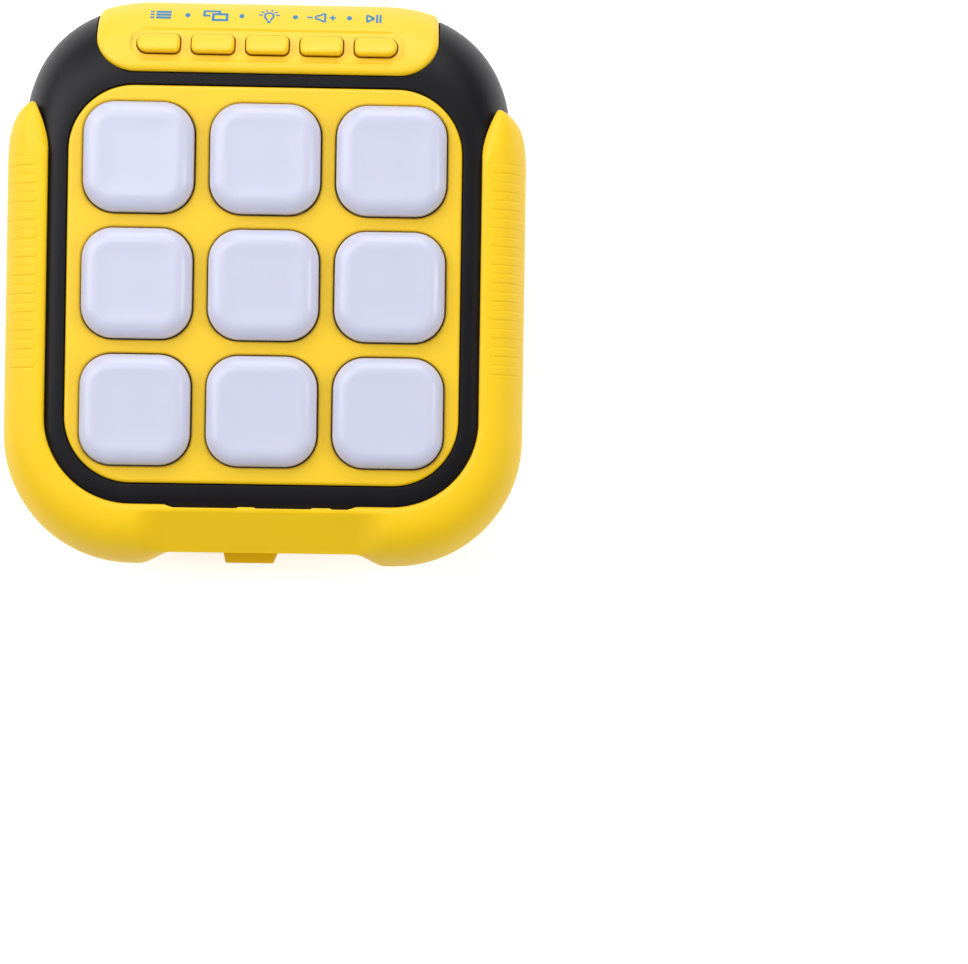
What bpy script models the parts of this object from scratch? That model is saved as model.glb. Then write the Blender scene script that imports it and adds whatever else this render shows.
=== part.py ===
"""A handheld electronic game: nine lit keys, five small buttons, a black case and a grip.

The game lies on its back. +Z comes out of the keys and +Y runs up to the small buttons.
The origin is on the flat back, under the middle of the middle key. Sizes are in metres.
"""

import math

import bmesh
import bpy

# Fits and helpers for cuts
FIT = 0.0003                      # clearance between pieces that touch
OVERRUN = 0.0020                  # how far a cutter passes the face that it opens
ROOT = 0.0004                     # how far a boss or rib starts inside its wall
QUARTER = math.pi / 2
SHARP_ANGLE = math.radians(38)

# The nine keys
KEY_COLUMNS = 3
KEY_ROWS = 3
KEY_PITCH = 0.0290
KEY_WIDTH = 0.0253
KEY_CORNER = 0.00725
KEY_GAP = 0.00035                 # running gap round a key in its window
KEY_RISE = 0.0040                 # how far a key stands above the panel
KEY_EDGE_WIDTH = 0.0036           # the rounded edge, measured across the key
KEY_EDGE_DROP = 0.0031            # the rounded edge, measured down the key
KEY_DISH = 0.0002
KEY_DISH_HALF = 0.0040
KEY_WALL = 0.0016
KEY_TRAVEL = 0.0013
KEY_FLANGE_REACH = 0.0010
KEY_FLANGE_THICKNESS = 0.0010

# The yellow panel round the keys
PANEL_BORDER_X = 0.00325
PANEL_BORDER_Y = 0.00370
PANEL_CORNER = 0.0152
PANEL_THICKNESS = 0.0020
PANEL_EDGE = 0.0009
PANEL_PROUD = 0.0007              # how far its face stands above the black ring

# The case: depth, wall, and the two outlines that its rounded side runs between
CASE_DEPTH = 0.0315               # flat back to panel face
PARTING_Z = 0.0150                # the widest line, where front and rear shell meet
RING_WIDTH = 0.00465              # black ring between panel and grip at the sides
RING_WIDTH_LOW = 0.0049           # the same below the panel
FACE_INSET = 0.0029               # the flat of the ring ends this far inside the grip
FACE_HIGH_CORNER = 0.0210
FACE_LOW_CORNER = 0.0175
CASE_HIGH_CORNER = 0.0307
CASE_LOW_CORNER = 0.0268
HIGH_CORNER_POWER = 2.35          # 2 is a circle, more is squarer
LOW_CORNER_POWER = 2.0
FRAME_WALL = 0.0026
FRAME_FLOOR = 0.0018              # web under the panel, which keeps the keys in
REAR_WALL = 0.0024

# The yellow cover of the five small buttons, over the top edge
BAND = 0.0032                     # black band between panel and cover
COVER_REACH = 0.01835             # cover's lower edge to the top of the game
COVER_HALF_WIDTH = 0.0395
COVER_CORNER = 0.0095
COVER_PROUD = 0.0009
COVER_THICKNESS = 0.0020
COVER_RECESS_HALF_WIDTH = 0.0315
COVER_RECESS_HEIGHT = 0.0078
COVER_RECESS_DEPTH = 0.0004

# The five small buttons
BUTTONS = 5
BUTTON_PITCH = 0.0125
BUTTON_WIDTH = 0.0098
BUTTON_HEIGHT = 0.0049
BUTTON_DISTANCE = 0.0069          # cover's lower edge to the row of buttons
BUTTON_CORNER = 0.0014
BUTTON_END_CORNER = 0.0023        # outer corners of the first and the last button
BUTTON_PROUD = 0.00155             # in the middle of its leaning face
BUTTON_LEAN_SHARE = 0.27          # how much more than the cover its face leans
BUTTON_EDGE = 0.0008
BUTTON_LOW_EDGE = 0.0006          # what the edge gains at the lower side
BUTTON_TOP_TURNS = (90, 45, 0)
BUTTON_GAP = 0.0003
BUTTON_TRAVEL = 0.0010
BUTTON_FLANGE_REACH = 0.0008
BUTTON_FLANGE_THICKNESS = 0.0007

# The soft grip round both sides and the bottom
GRIP_WIDTH = 0.0107               # ring to the outer side, seen from the front
GRIP_HEIGHT_LOW = 0.01385         # ring to the lowest point
GRIP_WALL = 0.0035                # over the case's widest line
GRIP_LIP_CORNER = 0.0200
GRIP_CORNER = 0.0312
GRIP_PROUD = 0.0007               # crest above the panel face
GRIP_CREST_INSET = 0.0012         # crest outward of the ring
GRIP_LIP_ROUND = 0.0007
GRIP_REAR_CLEARANCE = 0.0004      # crest on the back, kept off the surface below
GRIP_POWER = 2.4
GRIP_CREST_TURNS = (0, 5, 18, 38, 62, 90)
GRIP_END_LOW_Y = 0.0308           # each upper end starts here beside the ring
GRIP_END_RISE = 0.0122            # and climbs this much to its tip
GRIP_END_POWER = 3.0
GRIP_END_SOFT_POWER = 0.7
GRIP_FULL_POWER = 0.75
GRIP_FULL_Y = 0.0295              # here the grip has its full thickness
GRIP_END_SHARES = (0.0, 0.05, 0.16, 0.40, 1.0)
GRIP_TIP_SHARE = 0.12

# Ribs on the sides of the grip
RIBS = 12
RIB_PITCH = 0.00423
RIB_TOP_Y = 0.0278                # middle of the uppermost rib
RIB_WIDTH = 0.0022
RIB_TAPER = 0.0004
RIB_HEIGHT = 0.0003
RIB_TURNS = (3, 5, 18, 38, 62, 90, 118)
RIB_WIDTH_SHARES = (0.5, 1.0, 1.0, 1.0, 1.0, 1.0, 1.0)

# The flat at the bottom of the grip, and the lug behind it
FLAT_HALF_WIDTH = 0.0213
FLAT_RING_HALF_WIDTH = 0.0235
FLAT_FLARE = 0.0062               # how far its ends spread towards the feet
FLAT_DEPTH = 0.00285              # lowest point of the feet to the flat's edge
FLAT_EDGE_DROP = 0.0062           # crest to the flat's outer edge
FLAT_LIP_STEP = 0.0007
LUG_LEFT = -0.0090
LUG_RIGHT = 0.0033
LUG_TAPER_LEFT = 0.0006
LUG_TAPER_RIGHT = 0.0011
LUG_REACH = 0.0026
LUG_LOW_Z = 0.0045
LUG_HIGH_Z = 0.0105

# Circuit board, light sources and silicone domes
BOARD_THICKNESS = 0.0016
BOARD_HALF_WIDTH = 0.0430
BOARD_LOW_Y = -0.0430
BOARD_HIGH_Y = 0.0592
BOARD_LOW_CORNER = 0.0080
BOARD_HIGH_CORNER = 0.0180
LED_WIDTH = 0.0050
LED_CORNER = 0.0006
LED_HEIGHT = 0.0016
DOME_SQUASHED = 0.0010            # room for the dome when its key is down
DOME_TOP_RADIUS = 0.0120
DOME_FOOT_SPREAD = 0.0005
DOME_WALL = 0.0014
SMALL_DOME_TOP_RADIUS = 0.0016
SMALL_DOME_FOOT_RADIUS = 0.0022
POST_RADIUS = 0.0018

# Cells, contacts, bay and door
CELLS = 3
CELL_RADIUS = 0.00525
CELL_LENGTH = 0.0445
CELL_NUB_RADIUS = 0.0019
CELL_NUB_LENGTH = 0.0010
CELL_EDGE = 0.0005
CELL_PITCH = 0.0109
CELL_CLEARANCE = 0.0004
SPRING_LENGTH = 0.0030
SPRING_FOOT_RADIUS = 0.0034
SPRING_TIP_RADIUS = 0.0022
DIMPLE_RADIUS = 0.0015
CONTACT_THICKNESS = 0.0004
CONTACT_WIDTH = 0.0086
CONTACT_MARGIN = 0.0008
DIMPLE_RISE = 0.0004
BAY_WALL = 0.0012
DOOR_HIGH_Y = -0.0024
DOOR_LEDGE = 0.0020
DOOR_CORNER = 0.0030
DOOR_THICKNESS = 0.0016
DOOR_SUNK = 0.0005
DOOR_BOSS_RADIUS = 0.0032
DOOR_BOSS_MARGIN = 0.0004
DOOR_BOSS_HEIGHT = 0.0040
DOOR_BOSS_FLOOR = 0.0014
DOOR_PAD = 0.0018

# Speaker
SPEAKER_Y = 0.0300
SPEAKER_RADIUS = 0.0140
SPEAKER_FLANGE = 0.0010
SPEAKER_BASKET_RADIUS = 0.0125
SPEAKER_NECK_RADIUS = 0.0090
SPEAKER_DEPTH = 0.0036
MAGNET_RADIUS = 0.0070
MAGNET_DEPTH = 0.0016
SEAT_WALL = 0.0012
SEAT_HEIGHT = 0.0016
SOUND_HOLE_RADIUS = 0.0009
SOUND_RING_PITCH = 0.0042
SOUND_RINGS = (1, 6, 12)

# Screws and their bosses
SCREW_HEAD_RADIUS = 0.0021
SCREW_HEAD_HEIGHT = 0.0016
SCREW_RADIUS = 0.0010
SCREW_LENGTH = 0.0095
DOOR_SCREW_LENGTH = 0.0060
WELL_DEPTH = 0.0090
WELL_FLOOR = 0.0030
REAR_BOSS_WALL = 0.0014
FRONT_BOSS_WALL = 0.0014
BOSS_X = 0.0469
BOSS_YS = (0.0380, -0.0250)

# How finely each curve is cut
CASE_STEPS = 7                    # round each corner of case and grip
FRONT_STEPS = 6                   # over the side, from the widest line to the front
REAR_STEPS = 5                    # the same to the back
PANEL_STEPS = 5
KEY_STEPS = 3
SMALL_STEPS = 2
ROUND_SIDES = 12
HOLE_SIDES = 6
BIG_ROUND_SIDES = 20

# Lines that follow from the sizes above
KEY_REACH_X = (KEY_COLUMNS - 1) / 2 * KEY_PITCH + KEY_WIDTH / 2 + KEY_GAP
KEY_REACH_Y = (KEY_ROWS - 1) / 2 * KEY_PITCH + KEY_WIDTH / 2 + KEY_GAP
PANEL_HALF_X = KEY_REACH_X + PANEL_BORDER_X
PANEL_HALF_Y = KEY_REACH_Y + PANEL_BORDER_Y
LIP_HALF_X = PANEL_HALF_X + RING_WIDTH
LIP_LOW_Y = -PANEL_HALF_Y - RING_WIDTH_LOW
GRIP_HALF_X = LIP_HALF_X + GRIP_WIDTH
GRIP_LOW_Y = LIP_LOW_Y - GRIP_HEIGHT_LOW
COVER_LOW_Y = PANEL_HALF_Y + BAND
FACE_HALF_X = LIP_HALF_X - FACE_INSET
FACE_LOW_Y = LIP_LOW_Y + FACE_INSET
FACE_HIGH_Y = COVER_LOW_Y
CASE_HALF_X = GRIP_HALF_X - GRIP_WALL - FIT
CASE_LOW_Y = GRIP_LOW_Y + GRIP_WALL + FIT
CASE_HIGH_Y = COVER_LOW_Y + COVER_REACH - COVER_PROUD
RING_Z = CASE_DEPTH - PANEL_PROUD
PANEL_BACK_Z = CASE_DEPTH - PANEL_THICKNESS
CEILING_Z = PANEL_BACK_Z - FIT - FRAME_FLOOR
KEY_FLANGE_Z = CEILING_Z - FIT
KEY_REST_Z = KEY_FLANGE_Z - KEY_FLANGE_THICKNESS
BOARD_TOP_Z = KEY_REST_Z - KEY_TRAVEL - DOME_SQUASHED
BUTTON_Y = COVER_LOW_Y + BUTTON_DISTANCE
CREST_Z = CASE_DEPTH + GRIP_PROUD
FRONT_DROP = RING_Z - PARTING_Z
WELL_RADIUS = SCREW_HEAD_RADIUS + FIT
HOLE_RADIUS = SCREW_RADIUS + FIT
REAR_BOSS_TOP_Z = WELL_DEPTH + WELL_FLOOR
DOOR_BACK_Z = DOOR_SUNK + DOOR_THICKNESS
CELL_Z = DOOR_BACK_Z + FIT + CELL_RADIUS
BAY_HALF_X = (CELL_LENGTH + SPRING_LENGTH) / 2 + DIMPLE_RISE + CONTACT_THICKNESS + 2 * FIT
BAY_HALF_Y = (CELLS - 1) / 2 * CELL_PITCH + CELL_RADIUS + CELL_CLEARANCE
DOOR_SCREW_Y = DOOR_HIGH_Y - DOOR_BOSS_RADIUS - DOOR_BOSS_MARGIN
BAY_HIGH_Y = DOOR_SCREW_Y - DOOR_BOSS_RADIUS - FIT - BAY_WALL
BAY_Y = BAY_HIGH_Y - BAY_HALF_Y
BAY_ROOF_Z = CELL_Z + CELL_RADIUS + CELL_CLEARANCE
DOOR_HALF_X = BAY_HALF_X + DOOR_LEDGE
DOOR_LOW_Y = BAY_Y - BAY_HALF_Y - DOOR_LEDGE

# Colours: red, green, blue, then roughness, metallic and how clear the piece is
BLACK_PLASTIC = (0.026, 0.025, 0.030, 0.42, 0.0)
YELLOW_PLASTIC = (1.000, 0.660, 0.006, 0.34, 0.0)
YELLOW_RUBBER = (0.980, 0.640, 0.006, 0.48, 0.0)
WHITE_PLASTIC = (0.700, 0.720, 0.880, 0.20, 0.0)
CLEAR_SILICONE = (0.800, 0.820, 0.830, 0.45, 0.0)
BOARD_GREEN = (0.020, 0.180, 0.070, 0.50, 0.0)
LED_WHITE = (0.850, 0.850, 0.780, 0.35, 0.0)
SPEAKER_STEEL = (0.350, 0.350, 0.360, 0.40, 1.0)
CELL_GREY = (0.300, 0.320, 0.350, 0.35, 0.6)
NICKEL = (0.620, 0.600, 0.560, 0.30, 1.0)
STEEL = (0.500, 0.500, 0.520, 0.35, 1.0)


def clear_scene():
    """Start from an empty scene."""
    for thing in list(bpy.data.objects):
        bpy.data.objects.remove(thing, do_unlink=True)


def make_material(name, finish):
    """One Principled material for one piece."""
    red, green, blue, roughness, metallic = finish
    material = bpy.data.materials.new(name)
    material.use_nodes = True
    shader = material.node_tree.nodes["Principled BSDF"]
    shader.inputs["Base Color"].default_value = (red, green, blue, 1.0)
    shader.inputs["Roughness"].default_value = roughness
    shader.inputs["Metallic"].default_value = metallic
    material.diffuse_color = (red, green, blue, 1.0)
    return material


def place(name, mesh, finish, location=(0.0, 0.0, 0.0), parent=None):
    """Put a mesh in the scene as one named piece with its own material."""
    piece = bpy.data.objects.new(name, mesh)
    piece.location = location
    piece.parent = parent
    bpy.context.scene.collection.objects.link(piece)
    if finish is not None:
        material = make_material(name, finish)
        if not mesh.materials:
            mesh.materials.append(material)
        piece.material_slots[0].link = "OBJECT"
        piece.material_slots[0].material = material
    return piece


def place_cutter(name, mesh):
    """Put a mesh in the scene as a guide that only shapes other pieces."""
    cutter = place(name, mesh, None)
    cutter.hide_render = True
    cutter.display_type = "WIRE"
    return cutter


def combine(piece, tool, operation="DIFFERENCE"):
    """Cut a piece by a tool, join the tool to it, or keep what they share."""
    modifier = piece.modifiers.new(tool.name, "BOOLEAN")
    modifier.object = tool
    modifier.operation = operation
    modifier.solver = "EXACT"


def finish_mesh(name, work):
    """Turn a bmesh into a mesh with outward faces and smooth round sides."""
    bmesh.ops.recalc_face_normals(work, faces=work.faces[:])
    mesh = bpy.data.meshes.new(name)
    work.to_mesh(mesh)
    work.free()
    mesh.shade_smooth()
    mesh.set_sharp_from_angle(angle=SHARP_ANGLE)
    return mesh


def extrude_ring(work, corners, edges, points):
    """Extrude a ring of edges and move the new corners to their places."""
    grown = bmesh.ops.extrude_edge_only(work, edges=edges)["geom"]
    fresh = {item for item in grown if isinstance(item, bmesh.types.BMVert)}
    moved = []
    for corner, point in zip(corners, points):
        neighbours = [edge.other_vert(corner) for edge in corner.link_edges]
        twin = next(vertex for vertex in neighbours if vertex in fresh)
        twin.co = point
        moved.append(twin)
    ring = [item for item in grown if isinstance(item, bmesh.types.BMEdge)]
    return moved, [edge for edge in ring if fresh.issuperset(edge.verts)]


def add_loft(work, rings, closed=False):
    """Skin a row of rings, and cap the two ends or join the last ring to the first."""
    corners = [work.verts.new(point) for point in rings[0]]
    edges = [work.edges.new((corners[index - 1], corners[index])) for index in range(len(corners))]
    start = edges
    for ring in rings[1:]:
        corners, edges = extrude_ring(work, corners, edges, ring)
    if closed:
        bmesh.ops.bridge_loops(work, edges=edges + start)
    else:
        bmesh.ops.contextual_create(work, geom=start)
        bmesh.ops.contextual_create(work, geom=edges)


def loft(name, rings, closed=False):
    """A mesh made of one skinned row of rings."""
    work = bmesh.new()
    add_loft(work, rings, closed)
    return finish_mesh(name, work)


def add_hull(work, points):
    """Add the simplest solid that holds all the points."""
    corners = [work.verts.new(point) for point in points]
    made = bmesh.ops.convex_hull(work, input=corners)
    bmesh.ops.delete(work, geom=made["geom_interior"], context="VERTS")


def signed_power(value, power):
    """A power that keeps the sign."""
    return math.copysign(abs(value) ** power, value)


def outline(left, right, low, high, corners, steps, powers=(2.0, 2.0, 2.0, 2.0)):
    """A rectangle with rounded corners, anticlockwise from the lower right one.

    The four corner radii go lower right, upper right, upper left, lower left.
    A power of 2 makes a round corner and a larger one a squarer corner.
    """
    centres = (
        (right - corners[0], low + corners[0]),
        (right - corners[1], high - corners[1]),
        (left + corners[2], high - corners[2]),
        (left + corners[3], low + corners[3]),
    )
    points = []
    for corner, (centre_x, centre_y) in enumerate(centres):
        for step in range(steps + 1):
            turn = QUARTER * (corner - 1 + step / steps)
            x = centre_x + corners[corner] * signed_power(math.cos(turn), 2 / powers[corner])
            y = centre_y + corners[corner] * signed_power(math.sin(turn), 2 / powers[corner])
            points.append((x, y))
    return points


def square_outline(half, corner, steps):
    """A square with rounded corners round the origin."""
    return outline(-half, half, -half, half, (corner,) * 4, steps)


def circle(radius, sides, centre=(0.0, 0.0)):
    """Points round a circle."""
    turns = [2 * math.pi * side / sides for side in range(sides)]
    return [(centre[0] + radius * math.cos(turn), centre[1] + radius * math.sin(turn)) for turn in turns]


def lift(points, height):
    """Give flat points one height."""
    return [(x, y, height) for x, y in points]


def turned(name, profile, sides):
    """A solid of revolution about Z from pairs of radius and height."""
    return loft(name, [lift(circle(radius, sides), height) for radius, height in profile])


def prism(name, points, low, high):
    """An upright solid with one outline."""
    return loft(name, [lift(points, low), lift(points, high)])


def prisms(name, outlines, low, high):
    """Several upright solids in one mesh, used as one tool."""
    work = bmesh.new()
    for points in outlines:
        add_loft(work, [lift(points, low), lift(points, high)])
    return finish_mesh(name, work)


# The case


def case_level(height, offset):
    """The case's outline at one height, with its side moved out by an offset.

    Returns half width, low edge, high edge, lower corner and upper corner.
    """
    drop = FRONT_DROP if height > PARTING_Z else PARTING_Z
    rise = (height - PARTING_Z) / (drop + offset)
    reach = math.sqrt(max(0.0, 1.0 - rise * rise))
    half = FACE_HALF_X + (CASE_HALF_X + offset - FACE_HALF_X) * reach
    low = FACE_LOW_Y + (CASE_LOW_Y - offset - FACE_LOW_Y) * reach
    high = FACE_HIGH_Y + (CASE_HIGH_Y + offset - FACE_HIGH_Y) * reach
    low_corner = FACE_LOW_CORNER + (CASE_LOW_CORNER + offset - FACE_LOW_CORNER) * reach
    high_corner = FACE_HIGH_CORNER + (CASE_HIGH_CORNER + offset - FACE_HIGH_CORNER) * reach
    return half, low, high, low_corner, high_corner


def case_ring(height, offset):
    """One ring round the case."""
    half, low, high, low_corner, high_corner = case_level(height, offset)
    corners = (low_corner, high_corner, high_corner, low_corner)
    powers = (LOW_CORNER_POWER, HIGH_CORNER_POWER, HIGH_CORNER_POWER, LOW_CORNER_POWER)
    return lift(outline(-half, half, low, high, corners, CASE_STEPS, powers), height)


def front_heights(offset, top, steps):
    """Heights from the parting line up to a top, close together where the side curves in."""
    drop = FRONT_DROP + offset
    last = math.acos(min(1.0, (top - PARTING_Z) / drop))
    turns = [QUARTER + (last - QUARTER) * step / steps for step in range(1, steps + 1)]
    return [PARTING_Z + drop * math.cos(turn) for turn in turns]


def rear_heights(offset, bottom, steps):
    """Heights from the parting line down to a bottom."""
    drop = PARTING_Z + offset
    last = math.acos(min(1.0, (PARTING_Z - bottom) / drop))
    turns = [QUARTER + (last - QUARTER) * step / steps for step in range(1, steps + 1)]
    return [PARTING_Z - drop * math.cos(turn) for turn in turns]


def front_solid(name, offset, base, top):
    """The front half of the case as one solid, its side moved by an offset."""
    rings = [case_ring(PARTING_Z, offset)]
    rings[0] = [(x, y, base) for x, y, _ in rings[0]]
    rings += [case_ring(height, offset) for height in front_heights(offset, top, FRONT_STEPS)]
    return loft(name, rings)


def rear_solid(name, offset, rim, bottom):
    """The rear half of the case as one solid, its side moved by an offset."""
    rings = [case_ring(PARTING_Z, offset)]
    rings[0] = [(x, y, rim) for x, y, _ in rings[0]]
    rings += [case_ring(height, offset) for height in rear_heights(offset, bottom, REAR_STEPS)]
    return loft(name, rings)


def panel_outline(offset):
    """The panel's outline, or the pocket's round it."""
    corner = PANEL_CORNER + offset
    half_x = PANEL_HALF_X + offset
    half_y = PANEL_HALF_Y + offset
    return outline(-half_x, half_x, -half_y, half_y, (corner,) * 4, PANEL_STEPS)


def key_centres():
    """Middle of each key, row by row from the upper left."""
    centres = []
    for row in range(KEY_ROWS):
        for column in range(KEY_COLUMNS):
            x = (column - (KEY_COLUMNS - 1) / 2) * KEY_PITCH
            y = ((KEY_ROWS - 1) / 2 - row) * KEY_PITCH
            centres.append((x, y))
    return centres


def post_centres():
    """Crossing points between four keys each."""
    centres = []
    rows = KEY_ROWS - 1
    columns = KEY_COLUMNS - 1
    for row in range(rows):
        for column in range(columns):
            x = (column - (columns - 1) / 2) * KEY_PITCH
            y = (row - (rows - 1) / 2) * KEY_PITCH
            centres.append((x, y))
    return centres


def boss_centres():
    """Middle of each case screw."""
    return [(side * BOSS_X, y) for y in BOSS_YS for side in (-1, 1)]


def key_windows():
    """The nine openings through panel and frame, as one tool."""
    half = KEY_WIDTH / 2 + KEY_GAP
    window = square_outline(half, KEY_CORNER + KEY_GAP, KEY_STEPS)
    outlines = [[(x + key_x, y + key_y) for x, y in window] for key_x, key_y in key_centres()]
    return place_cutter("key_windows", prisms("key_windows", outlines, PARTING_Z, CASE_DEPTH + OVERRUN))


def cover_plan(offset):
    """The cover's outline seen from the front."""
    half = COVER_HALF_WIDTH + offset
    corner = COVER_CORNER + offset
    corners = (corner, ROOT, ROOT, corner)
    high = CASE_HIGH_Y + COVER_REACH
    return outline(-half, half, COVER_LOW_Y - offset, high, corners, PANEL_STEPS)


def build_front_frame(windows):
    """Black front shell: ring, shoulders, web with nine openings, bosses and posts."""
    rim = PARTING_Z + FIT / 2
    frame = place("front_frame", front_solid("front_frame", 0.0, rim, RING_Z), BLACK_PLASTIC)
    hollow = place_cutter("frame_hollow", front_solid("frame_hollow", -FRAME_WALL, PARTING_Z - OVERRUN, CEILING_Z))
    combine(frame, hollow)
    supports = [circle(HOLE_RADIUS + FRONT_BOSS_WALL, ROUND_SIDES, centre) for centre in boss_centres()]
    bosses = place_cutter("frame_bosses", prisms("frame_bosses", supports, REAR_BOSS_TOP_Z + FIT, CEILING_Z + ROOT))
    combine(frame, bosses, "UNION")
    pegs = [circle(POST_RADIUS, ROUND_SIDES, centre) for centre in post_centres()]
    posts = place_cutter("frame_posts", prisms("frame_posts", pegs, BOARD_TOP_Z + FIT, CEILING_Z + ROOT))
    combine(frame, posts, "UNION")
    pocket = prism("panel_pocket", panel_outline(FIT), PANEL_BACK_Z - FIT, CASE_DEPTH + OVERRUN)
    combine(frame, place_cutter("panel_pocket", pocket))
    combine(frame, windows)
    combine(frame, build_cover_pocket())
    half_x = (BUTTONS - 1) / 2 * BUTTON_PITCH + BUTTON_WIDTH / 2 + BUTTON_FLANGE_REACH + FIT
    half_y = BUTTON_HEIGHT / 2 + BUTTON_FLANGE_REACH + FIT
    corner = BUTTON_END_CORNER + BUTTON_FLANGE_REACH
    slot = outline(-half_x, half_x, BUTTON_Y - half_y, BUTTON_Y + half_y, (corner,) * 4, SMALL_STEPS)
    opening = prism("button_opening", slot, PARTING_Z, CASE_DEPTH + OVERRUN)
    combine(frame, place_cutter("button_opening", opening))
    holes = [circle(HOLE_RADIUS, ROUND_SIDES, centre) for centre in boss_centres()]
    hole_top = REAR_BOSS_TOP_Z + SCREW_LENGTH
    pilots = prisms("frame_pilots", holes, REAR_BOSS_TOP_Z - OVERRUN, hole_top)
    combine(frame, place_cutter("frame_pilots", pilots))


def build_cover_pocket():
    """The room that the cover takes out of the frame."""
    pocket = prism("cover_pocket", cover_plan(FIT), PARTING_Z - OVERRUN, CASE_DEPTH + COVER_REACH)
    pocket = place_cutter("cover_pocket", pocket)
    depth = COVER_PROUD - COVER_THICKNESS - FIT
    core = front_solid("pocket_core", depth, PARTING_Z - OVERRUN - OVERRUN, RING_Z + depth)
    combine(pocket, place_cutter("pocket_core", core))
    return pocket


def build_panel(windows):
    """Yellow panel with a rounded rim and nine windows."""
    rings = [lift(panel_outline(0.0), PANEL_BACK_Z)]
    for turn in (90, 45, 0):
        angle = math.radians(turn)
        inset = PANEL_EDGE * (1.0 - math.sin(angle))
        height = CASE_DEPTH - PANEL_EDGE * (1.0 - math.cos(angle))
        rings.append(lift(panel_outline(-inset), height))
    panel = place("key_panel", loft("key_panel", rings), YELLOW_PLASTIC)
    combine(panel, windows)


# Keys


def key_mesh():
    """A hollow key with a wide rounded edge and a flange that keeps it in."""
    half = KEY_WIDTH / 2
    top = KEY_RISE
    flange_top = KEY_FLANGE_Z - CASE_DEPTH
    flange_bottom = KEY_REST_Z - CASE_DEPTH
    profile = [(half - KEY_DISH_HALF, top - KEY_DISH)]
    for turn in (0, 30, 60, 90):
        angle = math.radians(turn)
        inset = KEY_EDGE_WIDTH * (1.0 - math.sin(angle))
        profile.append((inset, top - KEY_EDGE_DROP * (1.0 - math.cos(angle))))
    profile += [
        (0.0, flange_top),
        (-KEY_FLANGE_REACH, flange_top),
        (-KEY_FLANGE_REACH, flange_bottom),
        (KEY_WALL, flange_bottom),
        (KEY_WALL, top - KEY_EDGE_DROP),
        (KEY_EDGE_WIDTH, top - KEY_WALL),
    ]
    rings = []
    for inset, height in profile:
        corner = max(KEY_CORNER - inset, KEY_EDGE_WIDTH / 2)
        rings.append(lift(square_outline(half - inset, corner, KEY_STEPS), height))
    return loft("key", rings)


def build_keys():
    """Nine keys, each on its own axis."""
    mesh = key_mesh()
    for number, (x, y) in enumerate(key_centres(), start=1):
        place(f"key_{number}", mesh, WHITE_PLASTIC, (x, y, CASE_DEPTH))


def build_key_domes():
    """Silicone rings that push the keys back, and a light source inside each."""
    foot = BOARD_TOP_Z + FIT
    tip = KEY_REST_Z - FIT
    profile = (
        (DOME_TOP_RADIUS, tip),
        (DOME_TOP_RADIUS - DOME_WALL, tip),
        (DOME_TOP_RADIUS + DOME_FOOT_SPREAD - DOME_WALL, foot),
        (DOME_TOP_RADIUS + DOME_FOOT_SPREAD, foot),
    )
    rings = [lift(circle(radius, ROUND_SIDES), height - foot) for radius, height in profile]
    dome = loft("key_dome", rings, closed=True)
    led = prism("led", square_outline(LED_WIDTH / 2, LED_CORNER, 1), 0.0, LED_HEIGHT)
    for number, (x, y) in enumerate(key_centres(), start=1):
        place(f"key_dome_{number}", dome, CLEAR_SILICONE, (x, y, foot))
        place(f"led_{number}", led, LED_WHITE, (x, y, BOARD_TOP_Z + FIT))


# Cover and small buttons


def cover_height(y):
    """Height of the cover's outer face at a place up the game."""
    reach = CASE_HIGH_Y + COVER_PROUD - FACE_HIGH_Y
    share = max(0.0, (y - FACE_HIGH_Y) / reach)
    return PARTING_Z + (FRONT_DROP + COVER_PROUD) * math.sqrt(max(0.0, 1.0 - share * share))


def button_xs():
    """Middle of each small button, from the left."""
    return [(index - (BUTTONS - 1) / 2) * BUTTON_PITCH for index in range(BUTTONS)]


def button_corners(index, offset):
    """Corner radii of one small button: rounder at the two ends of the row."""
    plain = BUTTON_CORNER + offset
    end = BUTTON_END_CORNER + offset
    right = end if index == BUTTONS - 1 else plain
    left = end if index == 0 else plain
    return (right, right, left, left)


def button_outline(index, offset):
    """Outline of one small button round its own middle."""
    half_x = BUTTON_WIDTH / 2 + offset
    half_y = BUTTON_HEIGHT / 2 + offset
    return outline(-half_x, half_x, -half_y, half_y, button_corners(index, offset), SMALL_STEPS)


def button_flange_z():
    """Top of the small buttons' flanges, under the lowest part of the cover's wall."""
    far_edge = BUTTON_Y + BUTTON_HEIGHT / 2 + BUTTON_FLANGE_REACH
    depth = COVER_PROUD - COVER_THICKNESS
    share = (far_edge - FACE_HIGH_Y) / (CASE_HIGH_Y + depth - FACE_HIGH_Y)
    return PARTING_Z + (FRONT_DROP + depth) * math.sqrt(1.0 - share * share) - FIT


def build_cover():
    """Yellow cover that rolls over the top edge, with a shallow recess and five windows."""
    rim = PARTING_Z + FIT / 2
    body = front_solid("control_cover", COVER_PROUD, rim, RING_Z + COVER_PROUD)
    cover = place("control_cover", body, YELLOW_PLASTIC)
    plan = prism("cover_plan", cover_plan(0.0), PARTING_Z - OVERRUN, CASE_DEPTH + COVER_REACH)
    combine(cover, place_cutter("cover_plan", plan), "INTERSECT")
    depth = COVER_PROUD - COVER_THICKNESS
    core = front_solid("cover_core", depth, PARTING_Z - OVERRUN, RING_Z + depth)
    combine(cover, place_cutter("cover_core", core))
    combine(cover, build_recess())
    windows = []
    for index, x in enumerate(button_xs()):
        points = button_outline(index, BUTTON_GAP)
        windows.append([(x + point_x, BUTTON_Y + point_y) for point_x, point_y in points])
    tool = prisms("button_windows", windows, PARTING_Z, CASE_DEPTH + COVER_REACH)
    combine(cover, place_cutter("button_windows", tool))


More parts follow.
